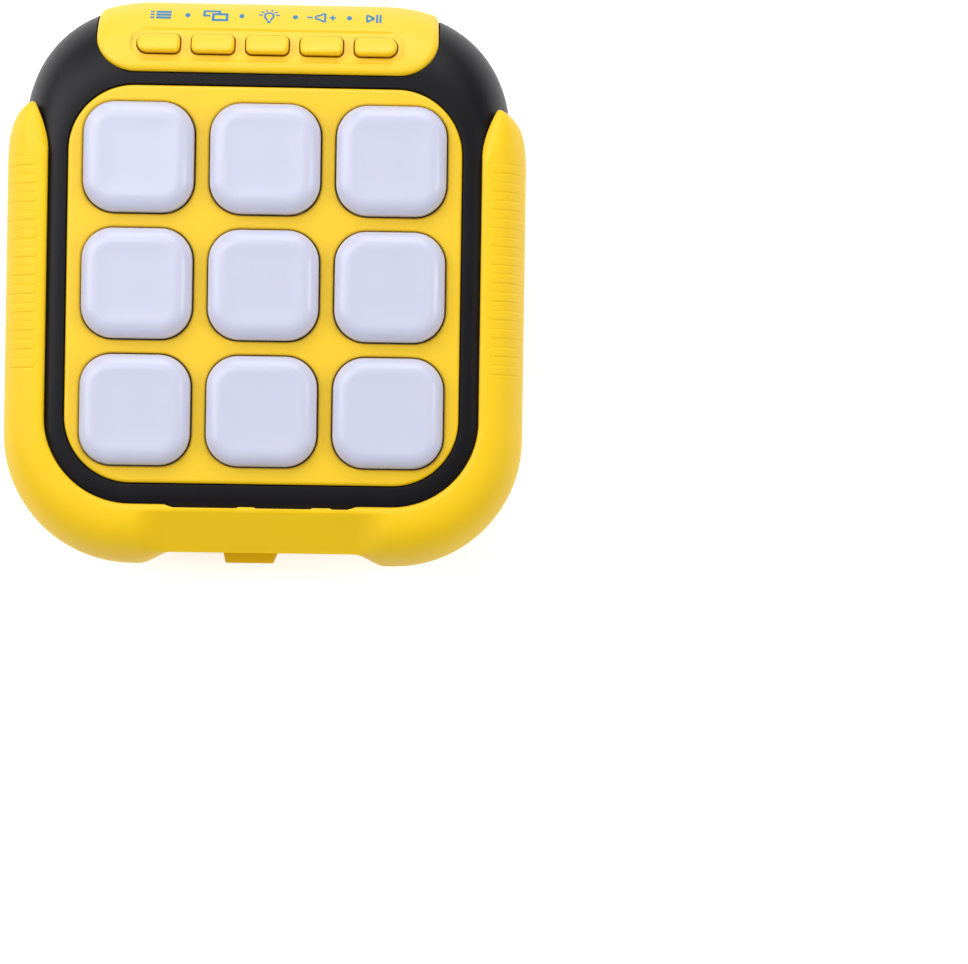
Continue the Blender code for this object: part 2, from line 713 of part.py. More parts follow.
def build_recess():
    """The shallow stadium round the small buttons."""
    half_y = COVER_RECESS_HEIGHT / 2
    points = outline(
        -COVER_RECESS_HALF_WIDTH,
        COVER_RECESS_HALF_WIDTH,
        BUTTON_Y - half_y,
        BUTTON_Y + half_y,
        (half_y,) * 4,
        KEY_STEPS,
    )
    recess = prism("cover_recess", points, PARTING_Z - OVERRUN, CASE_DEPTH + COVER_REACH)
    recess = place_cutter("cover_recess", recess)
    depth = COVER_PROUD - COVER_RECESS_DEPTH
    core = front_solid("recess_core", depth, PARTING_Z - OVERRUN - OVERRUN, RING_Z + depth)
    combine(recess, place_cutter("recess_core", core))
    return recess


def button_mesh(index):
    """One small button: flange, body and a pillow-shaped top."""
    flange_top = button_flange_z()
    flange_bottom = flange_top - BUTTON_FLANGE_THICKNESS
    rings = [
        lift(button_outline(index, BUTTON_FLANGE_REACH), 0.0),
        lift(button_outline(index, BUTTON_FLANGE_REACH), flange_top - flange_bottom),
        lift(button_outline(index, 0.0), flange_top - flange_bottom),
    ]
    rings += [button_ring(index, math.radians(turn), flange_bottom) for turn in BUTTON_TOP_TURNS]
    return loft(f"strip_button_{index + 1}", rings)


def button_ring(index, angle, base):
    """One ring round a small button's top, from its side to its leaning face.

    The edge is wider and deeper at the lower side of the button.
    """
    inset_share = 1.0 - math.sin(angle)
    drop_share = 1.0 - math.cos(angle)
    ring = []
    for x, y in button_outline(index, -BUTTON_EDGE * inset_share):
        low_share = (BUTTON_HEIGHT / 2 - y) / BUTTON_HEIGHT
        y += BUTTON_LOW_EDGE * low_share * inset_share
        drop = (BUTTON_EDGE + BUTTON_LOW_EDGE * low_share) * drop_share
        face = cover_height(BUTTON_Y + y) + BUTTON_PROUD - BUTTON_LEAN_SHARE * y
        ring.append((x, y, face - drop - base))
    return ring


def build_buttons():
    """Five small buttons and the silicone domes under them."""
    rest = button_flange_z() - BUTTON_FLANGE_THICKNESS
    foot = BOARD_TOP_Z + FIT
    profile = (
        (SMALL_DOME_FOOT_RADIUS, 0.0),
        (SMALL_DOME_TOP_RADIUS, rest - FIT - foot),
    )
    dome = turned("strip_dome", profile, ROUND_SIDES)
    for index, x in enumerate(button_xs()):
        place(f"strip_button_{index + 1}", button_mesh(index), YELLOW_PLASTIC, (x, BUTTON_Y, rest))
        place(f"strip_dome_{index + 1}", dome, CLEAR_SILICONE, (x, BUTTON_Y, foot))


# Grip


def lip_turn():
    """The turn, from the middle of the front, at which the grip's inner face begins."""
    return math.asin((LIP_HALF_X - FACE_HALF_X) / (CASE_HALF_X + FIT - FACE_HALF_X))


def grip_inner(turn, front):
    """Inner face of the grip at a turn, which follows the case.

    Returns half width, low edge, corner radius and height.
    """
    drop = FRONT_DROP + FIT if front else PARTING_Z + FIT
    rise = drop * math.cos(turn)
    height = PARTING_Z + (rise if front else -rise)
    half, low, _, corner, _ = case_level(height, FIT)
    return half, low, corner, height


def grip_under(turn, front):
    """Inner face behind a place on the outer face, which is given in degrees."""
    first = lip_turn()
    return grip_inner(first + (QUARTER - first) * turn / GRIP_CREST_TURNS[-1], front)


def grip_outer(turn, front, spread=0.0):
    """Outer face of the grip at a turn from its crest (0) to its side (90 degrees)."""
    crest = CREST_Z - PARTING_Z if front else PARTING_Z - GRIP_REAR_CLEARANCE
    angle = math.radians(turn)
    across = math.sin(angle) ** (2 / GRIP_POWER)
    up = math.cos(angle) ** (2 / GRIP_POWER)
    wide = GRIP_WIDTH - GRIP_CREST_INSET + spread
    out = GRIP_CREST_INSET + wide * across
    half = LIP_HALF_X + out
    share = out / GRIP_WIDTH
    low = LIP_LOW_Y - GRIP_HEIGHT_LOW * share
    corner = GRIP_LIP_CORNER + (GRIP_CORNER - GRIP_LIP_CORNER) * share
    height = (crest + spread) * up
    return half, low, corner, PARTING_Z + (height if front else -height)


def grip_lip(front):
    """The upright edge of the grip beside the ring."""
    crest = CREST_Z - GRIP_LIP_ROUND if front else GRIP_REAR_CLEARANCE + GRIP_LIP_ROUND
    return LIP_HALF_X, LIP_LOW_Y, GRIP_LIP_CORNER, crest


def blend(first, second, share):
    """Numbers between two rows of numbers."""
    return tuple(one + (two - one) * share for one, two in zip(first, second))


def grip_section(fullness):
    """The rows of the grip's section, thinned by a fullness of 1 or less."""
    first = lip_turn()
    rows = [blend(grip_inner(first, True), grip_lip(True), fullness)]
    for turn in GRIP_CREST_TURNS:
        rows.append(blend(grip_under(turn, True), grip_outer(turn, True), fullness))
    for turn in reversed(GRIP_CREST_TURNS[:-1]):
        rows.append(blend(grip_under(turn, False), grip_outer(turn, False), fullness))
    rows.append(blend(grip_inner(first, False), grip_lip(False), fullness))
    rows.append(grip_inner(first, False))
    rows += [grip_inner(QUARTER * step / REAR_STEPS, False) for step in range(1, REAR_STEPS) if step > 1]
    rows += [grip_inner(QUARTER * step / FRONT_STEPS, True) for step in range(FRONT_STEPS, 1, -1)]
    rows.append(grip_inner(first, True))
    return rows


def grip_end(half):
    """Where the pointed upper end stops, for a row at one distance from the middle."""
    way = (half - LIP_HALF_X) / (CASE_HALF_X + FIT - LIP_HALF_X)
    left_share = 1.0 - min(1.0, max(0.0, way))
    rise_share = (1.0 - left_share**GRIP_END_POWER) ** GRIP_END_SOFT_POWER
    return GRIP_END_LOW_Y + GRIP_END_RISE * rise_share


def grip_left_rings():
    """Sections down the left side and round the lower left corner."""
    rings = []
    ends = [grip_end(half) for half, _, _, _ in grip_section(GRIP_TIP_SHARE)]
    for share in GRIP_END_SHARES:
        full_share = (1.0 - (1.0 - share) ** 2) ** GRIP_FULL_POWER
        fullness = GRIP_TIP_SHARE + (1.0 - GRIP_TIP_SHARE) * full_share
        ring = []
        for end, (half, _, _, height) in zip(ends, grip_section(fullness)):
            ring.append((-half, end + (GRIP_FULL_Y - end) * share, height))
        rings.append(ring)
    for step in range(CASE_STEPS + 1):
        angle = QUARTER * step / CASE_STEPS
        ring = []
        for half, low, corner, height in grip_section(1.0):
            x = corner - half - corner * math.cos(angle)
            y = corner + low - corner * math.sin(angle)
            ring.append((x, y, height))
        rings.append(ring)
    return rings


def build_grip():
    """Yellow grip: a C-section swept round three sides, with ribs, a flat and a lug."""
    left = grip_left_rings()
    right = [[(-x, y, z) for x, y, z in ring] for ring in reversed(left)]
    grip = place("bumper", loft("bumper", left + right), YELLOW_RUBBER)
    combine(grip, place_cutter("grip_ribs", rib_mesh()), "UNION")
    combine(grip, place_cutter("grip_flat", flat_mesh()))
    combine(grip, place_cutter("grip_underside", underside_mesh()))
    combine(grip, place_cutter("grip_lip_step", lip_step_mesh()))
    combine(grip, place_cutter("grip_lug", lug_mesh()), "UNION")


def rib_mesh():
    """The ribs of both sides, each a bar that follows the grip's side."""
    work = bmesh.new()
    for side in (-1, 1):
        for number in range(RIBS):
            add_loft(work, rib_rings(side, RIB_TOP_Y - number * RIB_PITCH))
    return finish_mesh("grip_ribs", work)


def rib_rings(side, middle):
    """Sections along one rib, from the crest over the side."""
    rings = []
    for turn, width_share in zip(RIB_TURNS, RIB_WIDTH_SHARES):
        foot = RIB_WIDTH / 2 * width_share
        crown = foot - RIB_TAPER * width_share
        front = turn <= 90
        angle = turn if front else 180 - turn
        low_half, _, _, low_z = grip_outer(angle, front, -ROOT)
        high_half, _, _, high_z = grip_outer(angle, front, RIB_HEIGHT)
        rings.append(
            [
                (side * low_half, middle - foot, low_z),
                (side * high_half, middle - crown, high_z),
                (side * high_half, middle + crown, high_z),
                (side * low_half, middle + foot, low_z),
            ]
        )
    return rings


def flat_mesh():
    """What is taken off the front of the grip's bottom to leave the sloping flat."""
    edge_y = GRIP_LOW_Y + FLAT_DEPTH
    ring_y = LIP_LOW_Y
    edge_z = CREST_Z - FLAT_EDGE_DROP
    top = CREST_Z + OVERRUN
    work = bmesh.new()
    points = []
    for side in (-1, 1):
        points += [
            (side * FLAT_RING_HALF_WIDTH, ring_y, CREST_Z),
            (side * FLAT_RING_HALF_WIDTH, ring_y, top),
            (side * FLAT_HALF_WIDTH, edge_y, edge_z),
            (side * FLAT_HALF_WIDTH, edge_y, top),
            (side * (FLAT_HALF_WIDTH + FLAT_FLARE), GRIP_LOW_Y - OVERRUN, edge_z - OVERRUN),
            (side * (FLAT_HALF_WIDTH + FLAT_FLARE), GRIP_LOW_Y - OVERRUN, top),
        ]
    add_hull(work, points)
    return finish_mesh("grip_flat", work)


def underside_mesh():
    """What is taken off the lowest edge of the grip between its two feet."""
    edge_y = GRIP_LOW_Y + FLAT_DEPTH
    wide = FLAT_HALF_WIDTH + FLAT_FLARE
    plan = [
        (-FLAT_HALF_WIDTH, edge_y),
        (-wide, GRIP_LOW_Y - OVERRUN),
        (wide, GRIP_LOW_Y - OVERRUN),
        (FLAT_HALF_WIDTH, edge_y),
    ]
    return prism("grip_underside", plan, -OVERRUN, CREST_Z + OVERRUN)


def lip_step_mesh():
    """The small step of the lip above the flat."""
    half = FLAT_HALF_WIDTH
    low = LIP_LOW_Y - FLAT_LIP_STEP
    plan = [(-half, low), (half, low), (half, LIP_LOW_Y + OVERRUN), (-half, LIP_LOW_Y + OVERRUN)]
    return prism("grip_lip_step", plan, PARTING_Z + FRONT_DROP / 2, CREST_Z + OVERRUN)


def lug_mesh():
    """The lug behind the bottom edge."""
    edge_y = GRIP_LOW_Y + FLAT_DEPTH
    plan = [
        (LUG_LEFT, edge_y + GRIP_WALL / 4),
        (LUG_LEFT, edge_y),
        (LUG_LEFT + LUG_TAPER_LEFT, edge_y - LUG_REACH),
        (LUG_RIGHT - LUG_TAPER_RIGHT, edge_y - LUG_REACH),
        (LUG_RIGHT, edge_y),
        (LUG_RIGHT, edge_y + GRIP_WALL / 4),
    ]
    return prism("grip_lug", plan, LUG_LOW_Z, LUG_HIGH_Z)


# Inside


def build_board():
    """Circuit board under all keys and buttons."""
    corners = (BOARD_LOW_CORNER, BOARD_HIGH_CORNER, BOARD_HIGH_CORNER, BOARD_LOW_CORNER)
    half = BOARD_HALF_WIDTH
    points = outline(-half, half, BOARD_LOW_Y, BOARD_HIGH_Y, corners, PANEL_STEPS)
    place("main_board", prism("main_board", points, BOARD_TOP_Z - BOARD_THICKNESS, BOARD_TOP_Z), BOARD_GREEN)


def build_speaker():
    """Round speaker, facing the holes in the back."""
    profile = (
        (SPEAKER_RADIUS, 0.0),
        (SPEAKER_RADIUS, SPEAKER_FLANGE),
        (SPEAKER_BASKET_RADIUS, SPEAKER_FLANGE),
        (SPEAKER_NECK_RADIUS, SPEAKER_DEPTH),
        (MAGNET_RADIUS, SPEAKER_DEPTH),
        (MAGNET_RADIUS, SPEAKER_DEPTH + MAGNET_DEPTH),
    )
    mesh = turned("speaker", profile, BIG_ROUND_SIDES)
    place("speaker", mesh, SPEAKER_STEEL, (0.0, SPEAKER_Y, REAR_WALL + FIT))


def cell_y(index):
    """Middle of one cell."""
    return BAY_Y + (index - (CELLS - 1) / 2) * CELL_PITCH


def cell_side(index):
    """Which end a cell's nub points to: 1 is right."""
    return 1 if index % 2 == 0 else -1


def build_cells():
    """Three cells, laid head to tail."""
    body = CELL_LENGTH - CELL_NUB_LENGTH
    profile = (
        (CELL_RADIUS - CELL_EDGE, -CELL_LENGTH / 2),
        (CELL_RADIUS, CELL_EDGE - CELL_LENGTH / 2),
        (CELL_RADIUS, body - CELL_EDGE - CELL_LENGTH / 2),
        (CELL_RADIUS - CELL_EDGE, body - CELL_LENGTH / 2),
        (CELL_NUB_RADIUS, body - CELL_LENGTH / 2),
        (CELL_NUB_RADIUS, CELL_LENGTH / 2),
    )
    mesh = turned("cell", profile, ROUND_SIDES)
    for index in range(CELLS):
        side = cell_side(index)
        x = side * SPRING_LENGTH / 2
        cell = place(f"battery_{index + 1}", mesh, CELL_GREY, (x, cell_y(index), CELL_Z))
        cell.rotation_euler = (0.0, side * QUARTER, 0.0)


def contact_mesh(name, side, cells):
    """A contact plate at one end of the bay, with a spring or a dimple for each cell."""
    outer = BAY_HALF_X - FIT
    inner = outer - CONTACT_THICKNESS
    low_y = cell_y(cells[0]) - CONTACT_WIDTH / 2
    high_y = cell_y(cells[-1]) + CONTACT_WIDTH / 2
    low_z = DOOR_BACK_Z + CONTACT_MARGIN
    high_z = BAY_ROOF_Z - CONTACT_MARGIN
    plate = [(inner, low_y), (outer, low_y), (outer, high_y), (inner, high_y)]
    plate = [(side * x, y) for x, y in plate]
    piece = place(name, prism(name, plate, low_z, high_z), NICKEL)
    work = bmesh.new()
    for index in cells:
        spring = cell_side(index) != side
        length = SPRING_LENGTH + DIMPLE_RISE if spring else DIMPLE_RISE
        foot = SPRING_FOOT_RADIUS if spring else DIMPLE_RADIUS
        tip = SPRING_TIP_RADIUS if spring else DIMPLE_RADIUS / 2
        rings = []
        for radius, x in ((foot, inner + CONTACT_THICKNESS / 2), (tip, inner - length)):
            ring = circle(radius, ROUND_SIDES, (cell_y(index), CELL_Z))
            rings.append([(side * x, y, z) for y, z in ring])
        add_loft(work, rings)
    buttons = place_cutter(f"{name}_ends", finish_mesh(f"{name}_ends", work))
    combine(piece, buttons, "UNION")


def build_contacts():
    """Four contacts that put the three cells in series."""
    contact_mesh("battery_contact_1", -1, (0,))
    contact_mesh("battery_contact_2", -1, (1, 2))
    contact_mesh("battery_contact_3", 1, (0, 1))
    contact_mesh("battery_contact_4", 1, (2,))


# Rear shell and door


def door_outline(offset):
    """The door's outline, or the recess's round it."""
    corner = DOOR_CORNER + offset
    half = DOOR_HALF_X + offset
    return outline(-half, half, DOOR_LOW_Y - offset, DOOR_HIGH_Y + offset, (corner,) * 4, KEY_STEPS)


def bay_outline(offset):
    """The battery bay's outline, or its wall's."""
    half_x = BAY_HALF_X + offset
    half_y = BAY_HALF_Y + offset
    corner = CELL_CLEARANCE + offset
    return outline(-half_x, half_x, BAY_Y - half_y, BAY_Y + half_y, (corner,) * 4, 1)


def sound_holes():
    """Rings of small holes over the speaker."""
    outlines = []
    for number, count in enumerate(SOUND_RINGS):
        for step in range(count):
            turn = 2 * math.pi * step / count
            x = number * SOUND_RING_PITCH * math.cos(turn)
            y = SPEAKER_Y + number * SOUND_RING_PITCH * math.sin(turn)
            outlines.append(circle(SOUND_HOLE_RADIUS, HOLE_SIDES, (x, y)))
    return prisms("sound_holes", outlines, -OVERRUN, REAR_WALL + OVERRUN)


def build_rear_shell():
    """Black rear shell: battery bay, door recess, speaker seat, sound holes and screw wells."""
    shell = place("rear_shell", rear_solid("rear_shell", 0.0, PARTING_Z - FIT / 2, 0.0), BLACK_PLASTIC)
    hollow = rear_solid("rear_hollow", -REAR_WALL, PARTING_Z + OVERRUN, REAR_WALL)
    combine(shell, place_cutter("rear_hollow", hollow))
    inside = REAR_WALL - ROOT
    pad_top = DOOR_BACK_Z + FIT + DOOR_PAD
    pad = prism("door_pad", door_outline(BAY_WALL), inside, pad_top)
    combine(shell, place_cutter("door_pad", pad), "UNION")
    bay = prism("bay_walls", bay_outline(BAY_WALL), inside, BAY_ROOF_Z + BAY_WALL)
    combine(shell, place_cutter("bay_walls", bay), "UNION")
    boss_radius = WELL_RADIUS + REAR_BOSS_WALL
    bosses = [circle(boss_radius, ROUND_SIDES, centre) for centre in boss_centres()]
    combine(shell, place_cutter("rear_bosses", prisms("rear_bosses", bosses, inside, REAR_BOSS_TOP_Z)), "UNION")
    boss_low = DOOR_SUNK + DOOR_BOSS_HEIGHT + FIT
    stud = circle(HOLE_RADIUS + FRONT_BOSS_WALL, ROUND_SIDES, (0.0, DOOR_SCREW_Y))
    stud_top = DOOR_SUNK + DOOR_BOSS_HEIGHT + DOOR_SCREW_LENGTH
    sleeve = circle(DOOR_BOSS_RADIUS + FIT + BAY_WALL, ROUND_SIDES, (0.0, DOOR_SCREW_Y))
    tower = place_cutter("door_tower", prism("door_tower", sleeve, inside, boss_low + BAY_WALL))
    combine(shell, tower, "UNION")
    combine(shell, place_cutter("door_stud", prism("door_stud", stud, boss_low + ROOT, stud_top)), "UNION")
    seat_outer = circle(SPEAKER_RADIUS + FIT + SEAT_WALL, BIG_ROUND_SIDES, (0.0, SPEAKER_Y))
    seat = place_cutter("speaker_seat", prism("speaker_seat", seat_outer, inside, REAR_WALL + SEAT_HEIGHT))
    combine(shell, seat, "UNION")
    cut_rear_shell(shell, boss_low, stud_top)


def cut_rear_shell(shell, boss_low, stud_top):
    """Everything that is open in the rear shell."""
    pocket = prism("door_recess", door_outline(FIT), -OVERRUN, DOOR_BACK_Z + FIT)
    combine(shell, place_cutter("door_recess", pocket))
    cavity = prism("bay_cavity", bay_outline(0.0), 0.0, BAY_ROOF_Z)
    combine(shell, place_cutter("bay_cavity", cavity))
    bore = circle(DOOR_BOSS_RADIUS + FIT, ROUND_SIDES, (0.0, DOOR_SCREW_Y))
    combine(shell, place_cutter("door_bore", prism("door_bore", bore, 0.0, boss_low)))
    pilot = circle(HOLE_RADIUS, ROUND_SIDES, (0.0, DOOR_SCREW_Y))
    combine(shell, place_cutter("door_pilot", prism("door_pilot", pilot, 0.0, stud_top - ROOT)))
    seat = circle(SPEAKER_RADIUS + FIT, BIG_ROUND_SIDES, (0.0, SPEAKER_Y))
    combine(shell, place_cutter("speaker_room", prism("speaker_room", seat, REAR_WALL, PARTING_Z)))
    combine(shell, place_cutter("sound_holes", sound_holes()))
    wells = [circle(WELL_RADIUS, ROUND_SIDES, centre) for centre in boss_centres()]
    combine(shell, place_cutter("screw_wells", prisms("screw_wells", wells, -OVERRUN, WELL_DEPTH)))
    holes = [circle(HOLE_RADIUS, ROUND_SIDES, centre) for centre in boss_centres()]
    drills = prisms("screw_holes", holes, 0.0, REAR_BOSS_TOP_Z + OVERRUN)
    combine(shell, place_cutter("screw_holes", drills))


def build_door():
    """Battery door with a boss for its screw."""
    door = place("battery_door", prism("battery_door", door_outline(0.0), DOOR_SUNK, DOOR_BACK_Z), BLACK_PLASTIC)
    centre = (0.0, DOOR_SCREW_Y)
    boss_top = DOOR_SUNK + DOOR_BOSS_HEIGHT
    boss = prism("door_boss", circle(DOOR_BOSS_RADIUS, ROUND_SIDES, centre), DOOR_BACK_Z - ROOT, boss_top)
    combine(door, place_cutter("door_boss", boss), "UNION")
    sink = prism("door_sink", circle(WELL_RADIUS, ROUND_SIDES, centre), -OVERRUN, boss_top - DOOR_BOSS_FLOOR)
    combine(door, place_cutter("door_sink", sink))
    hole = prism("door_hole", circle(HOLE_RADIUS, ROUND_SIDES, centre), -OVERRUN, boss_top + OVERRUN)
    combine(door, place_cutter("door_hole", hole))


def screw_mesh(name, length):
    """A pan-head screw that points up, its origin under the head."""
    profile = (
        (SCREW_HEAD_RADIUS * math.cos(math.pi / 4), -SCREW_HEAD_HEIGHT),
        (SCREW_HEAD_RADIUS, -SCREW_HEAD_HEIGHT / 2),
        (SCREW_HEAD_RADIUS, 0.0),
        (SCREW_RADIUS, 0.0),
        (SCREW_RADIUS, length - SCREW_RADIUS),
        (SCREW_RADIUS / 2, length),
    )
    return turned(name, profile, ROUND_SIDES)


def build_screws():
    """Four case screws and the door screw."""
    mesh = screw_mesh("case_screw", WELL_FLOOR + SCREW_LENGTH - FIT)
    for number, (x, y) in enumerate(boss_centres(), start=1):
        place(f"case_screw_{number}", mesh, STEEL, (x, y, WELL_DEPTH - FIT))
    seat = DOOR_SUNK + DOOR_BOSS_HEIGHT - DOOR_BOSS_FLOOR
    length = DOOR_BOSS_FLOOR + DOOR_SCREW_LENGTH - ROOT
    place("door_screw", screw_mesh("door_screw", length), STEEL, (0.0, DOOR_SCREW_Y, seat - FIT))


def build():
    """Build the whole game."""
    clear_scene()
    windows = key_windows()
    build_front_frame(windows)
    build_panel(windows)
    build_keys()
    build_key_domes()
    build_cover()
    build_buttons()
    build_grip()
    build_board()
    build_speaker()
    build_cells()
    build_contacts()
    build_rear_shell()
    build_door()
    build_screws()


build()
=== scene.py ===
# %% [markdown]
# # A handheld electronic game
# The game has nine white keys in a yellow panel, five small buttons, a black case and a
# yellow grip. Another script made its solids. This one loads them as a fixed frame and
# dresses each of them with a finer shape and a finish, ready to be rendered.

# %% Load the fixed frame
import math

import bmesh
import bpy
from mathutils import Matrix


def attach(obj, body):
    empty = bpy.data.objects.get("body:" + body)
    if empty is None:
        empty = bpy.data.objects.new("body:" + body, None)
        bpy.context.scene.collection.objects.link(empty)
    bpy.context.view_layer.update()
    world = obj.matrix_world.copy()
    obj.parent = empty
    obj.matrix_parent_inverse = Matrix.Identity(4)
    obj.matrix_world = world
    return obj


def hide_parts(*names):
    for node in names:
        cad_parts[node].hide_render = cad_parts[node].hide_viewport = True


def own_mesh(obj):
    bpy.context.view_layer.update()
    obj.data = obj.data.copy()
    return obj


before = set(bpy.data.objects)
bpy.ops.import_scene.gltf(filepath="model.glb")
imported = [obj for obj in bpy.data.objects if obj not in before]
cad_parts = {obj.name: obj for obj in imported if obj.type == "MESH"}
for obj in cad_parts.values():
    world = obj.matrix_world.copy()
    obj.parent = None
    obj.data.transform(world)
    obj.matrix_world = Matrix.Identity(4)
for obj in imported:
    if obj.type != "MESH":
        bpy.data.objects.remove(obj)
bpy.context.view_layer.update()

print("nodes in the frame:", len(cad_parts))

# %% [markdown]
# ## Sizes
# A model is easier to change when each size has a name and is written once. The sizes
# below are in metres and are the same as in the solids. The origin is on the flat back
# under the middle key, +Z comes out of the keys and +Y runs up to the small buttons.

# %% Sizes of the keys and the panel
FIT = 0.0003
OVERRUN = 0.0020
QUARTER = math.pi / 2
KEY_PITCH = 0.0290
KEY_WIDTH = 0.0253
KEY_CORNER = 0.00725
KEY_GAP = 0.00035
KEY_RISE = 0.0040
KEY_EDGE_WIDTH = 0.0036
KEY_EDGE_DROP = 0.0031
KEY_WALL = 0.0016
KEY_FLANGE = 0.0010
PANEL_HALF_X = 0.04525
PANEL_HALF_Y = 0.0457
PANEL_CORNER = 0.0152
PANEL_THICKNESS = 0.0020
CASE_DEPTH = 0.0315
KEY_CENTRES = [(x * KEY_PITCH, y * KEY_PITCH) for y in (1, 0, -1) for x in (-1, 0, 1)]
print("keys:", len(KEY_CENTRES), "panel width:", 2 * PANEL_HALF_X)

# %% Sizes of the case and the grip
PARTING_Z = 0.0150
RING_Z = 0.0308
FRONT_DROP = RING_Z - PARTING_Z
LIP_HALF_X = 0.0499
LIP_LOW_Y = -0.0506
FACE_HALF_X, CASE_HALF_X = 0.0470, 0.0568
FACE_LOW_Y, CASE_LOW_Y = -0.0477, -0.06065
FACE_HIGH_Y, CASE_HIGH_Y = 0.0489, 0.06635
FACE_LOW_CORNER, CASE_LOW_CORNER = 0.0175, 0.0268
FACE_HIGH_CORNER, CASE_HIGH_CORNER = 0.0210, 0.0307
HIGH_POWER = 2.22
FRAME_WALL = 0.0026
REAR_WALL = 0.0024
CEILING_Z = 0.0274
BOARD_TOP_Z = 0.0238
BOSSES = [(x, y) for y in (0.0380, -0.0250) for x in (-0.0469, 0.0469)]
print("the case is", 2 * CASE_HALF_X, "wide and", CASE_HIGH_Y - CASE_LOW_Y, "tall")

# %% [markdown]
# ## Camera
# The photograph looks almost straight down on the game from about 0.7 m. The camera stands
# a little below and to the right of the middle and is turned by less than 2 degrees. Its
# place and lens were solved from the nine key centres, so the render can be laid over the
# photograph.

# %% Place the camera
camera = bpy.data.objects.new("camera", bpy.data.cameras.new("camera"))
bpy.context.scene.collection.objects.link(camera)
camera.location = (0.03202, -0.05186, 0.71823)
camera.rotation_euler = [math.radians(turn) for turn in (0.598, -1.622, 0.847)]
camera.data.lens = 111.05
camera.data.clip_start = 0.01
bpy.context.scene.camera = camera
bpy.context.scene.view_settings.view_transform = "Standard"
print("lens:", round(camera.data.lens, 1), "mm")

# %% [markdown]
# ## Shapes from rings
# Most pieces of moulded plastic can be skinned over a row of closed rings: one ring is
# extruded, its new corners move to the next ring, and so on. Extruding keeps the corners
# paired, also where two rings lie in one plane, which is where bridging gets twisted.

# %% Rings and skins


def outline(left, right, low, high, corners, steps, powers=(2.0,) * 4):
    """A rounded rectangle, anticlockwise from its lower right corner."""
    centres = (
        (right - corners[0], low + corners[0]),
        (right - corners[1], high - corners[1]),
        (left + corners[2], high - corners[2]),
        (left + corners[3], low + corners[3]),
    )
    points = []
    for number, (centre_x, centre_y) in enumerate(centres):
        power = 2.0 / powers[number]
        for step in range(steps + 1):
            turn = QUARTER * (number - 1 + step / steps)
            across, up = math.cos(turn), math.sin(turn)
            x = centre_x + corners[number] * math.copysign(abs(across) ** power, across)
            y = centre_y + corners[number] * math.copysign(abs(up) ** power, up)
            points.append((x, y))
    return points


def circle(radius, sides, centre=(0.0, 0.0)):
    """Points round a circle."""
    turns = [2 * math.pi * side / sides for side in range(sides)]
    return [(centre[0] + radius * math.cos(turn), centre[1] + radius * math.sin(turn)) for turn in turns]


def lift(points, height):
    """Give flat points one height."""
    return [(x, y, height) for x, y in points]


def grow_ring(work, corners, edges, points):
    """Extrude a ring of edges and move its new corners."""
    grown = bmesh.ops.extrude_edge_only(work, edges=edges)["geom"]
    fresh = {item for item in grown if isinstance(item, bmesh.types.BMVert)}
    moved = []
    for corner, point in zip(corners, points):
        twin = next(edge.other_vert(corner) for edge in corner.link_edges if edge.other_vert(corner) in fresh)
        twin.co = point
        moved.append(twin)
    return moved, [item for item in grown if isinstance(item, bmesh.types.BMEdge) and fresh.issuperset(item.verts)]


def add_skin(work, rings, closed=False):
    """Skin a row of rings, then cap both ends or join them."""
    corners = [work.verts.new(point) for point in rings[0]]
    start = [work.edges.new((corners[index - 1], corners[index])) for index in range(len(corners))]
    edges = start
    for ring in rings[1:]:
        corners, edges = grow_ring(work, corners, edges, ring)
    if closed:
        bmesh.ops.bridge_loops(work, edges=edges + start)
    else:
        bmesh.ops.contextual_create(work, geom=start)
        bmesh.ops.contextual_create(work, geom=edges)


print("ring helpers ready:", len(outline(-1, 1, -1, 1, (0.5,) * 4, 4)), "points in a test outline")

# %% [markdown]
# ## From a bmesh to a finished piece
# A piece is finished in the same few steps each time: its faces are turned outwards, its
# round sides are shaded smooth, it gets a material, it is told which body it moves with, and
# the plain solid that it stands for is hidden. A large flat with small rounded rims would look
# dented when shaded smooth, because the rims bend its shading. Weighting the shading by
# the size of the faces cures that and adds no faces.

# %% Pieces and cuts
SMOOTH_ANGLE = math.radians(32)


def mesh_piece(name, work):
    """Make an object from a bmesh."""
    bmesh.ops.recalc_face_normals(work, faces=work.faces[:])
    mesh = bpy.data.meshes.new(name)
    work.to_mesh(mesh)
    work.free()
    piece = bpy.data.objects.new(name, mesh)
    bpy.context.scene.collection.objects.link(piece)
    return piece


def skinned(name, *rows, closed=False):
    """Make one object from one or more rows of rings."""
    work = bmesh.new()
    for rings in rows:
        add_skin(work, rings, closed)
    return mesh_piece(name, work)


def prisms(name, outlines, low, high):
    """Make upright solids from flat outlines."""
    return skinned(name, *[[lift(points, low), lift(points, high)] for points in outlines])


def apply_modifiers(piece):
    """Put what the modifiers make into the piece's own mesh."""
    graph = bpy.context.evaluated_depsgraph_get()
    mesh = bpy.data.meshes.new_from_object(piece.evaluated_get(graph))
    piece.modifiers.clear()
    piece.data = mesh
    return piece


def combine(piece, tool, operation="DIFFERENCE"):
    """Cut, join or keep what two pieces share, and delete the tool."""
    modifier = piece.modifiers.new("cut", "BOOLEAN")
    modifier.object = tool
    modifier.operation = operation
    modifier.solver = "EXACT"
    apply_modifiers(piece)
    bpy.data.objects.remove(tool)
    return piece


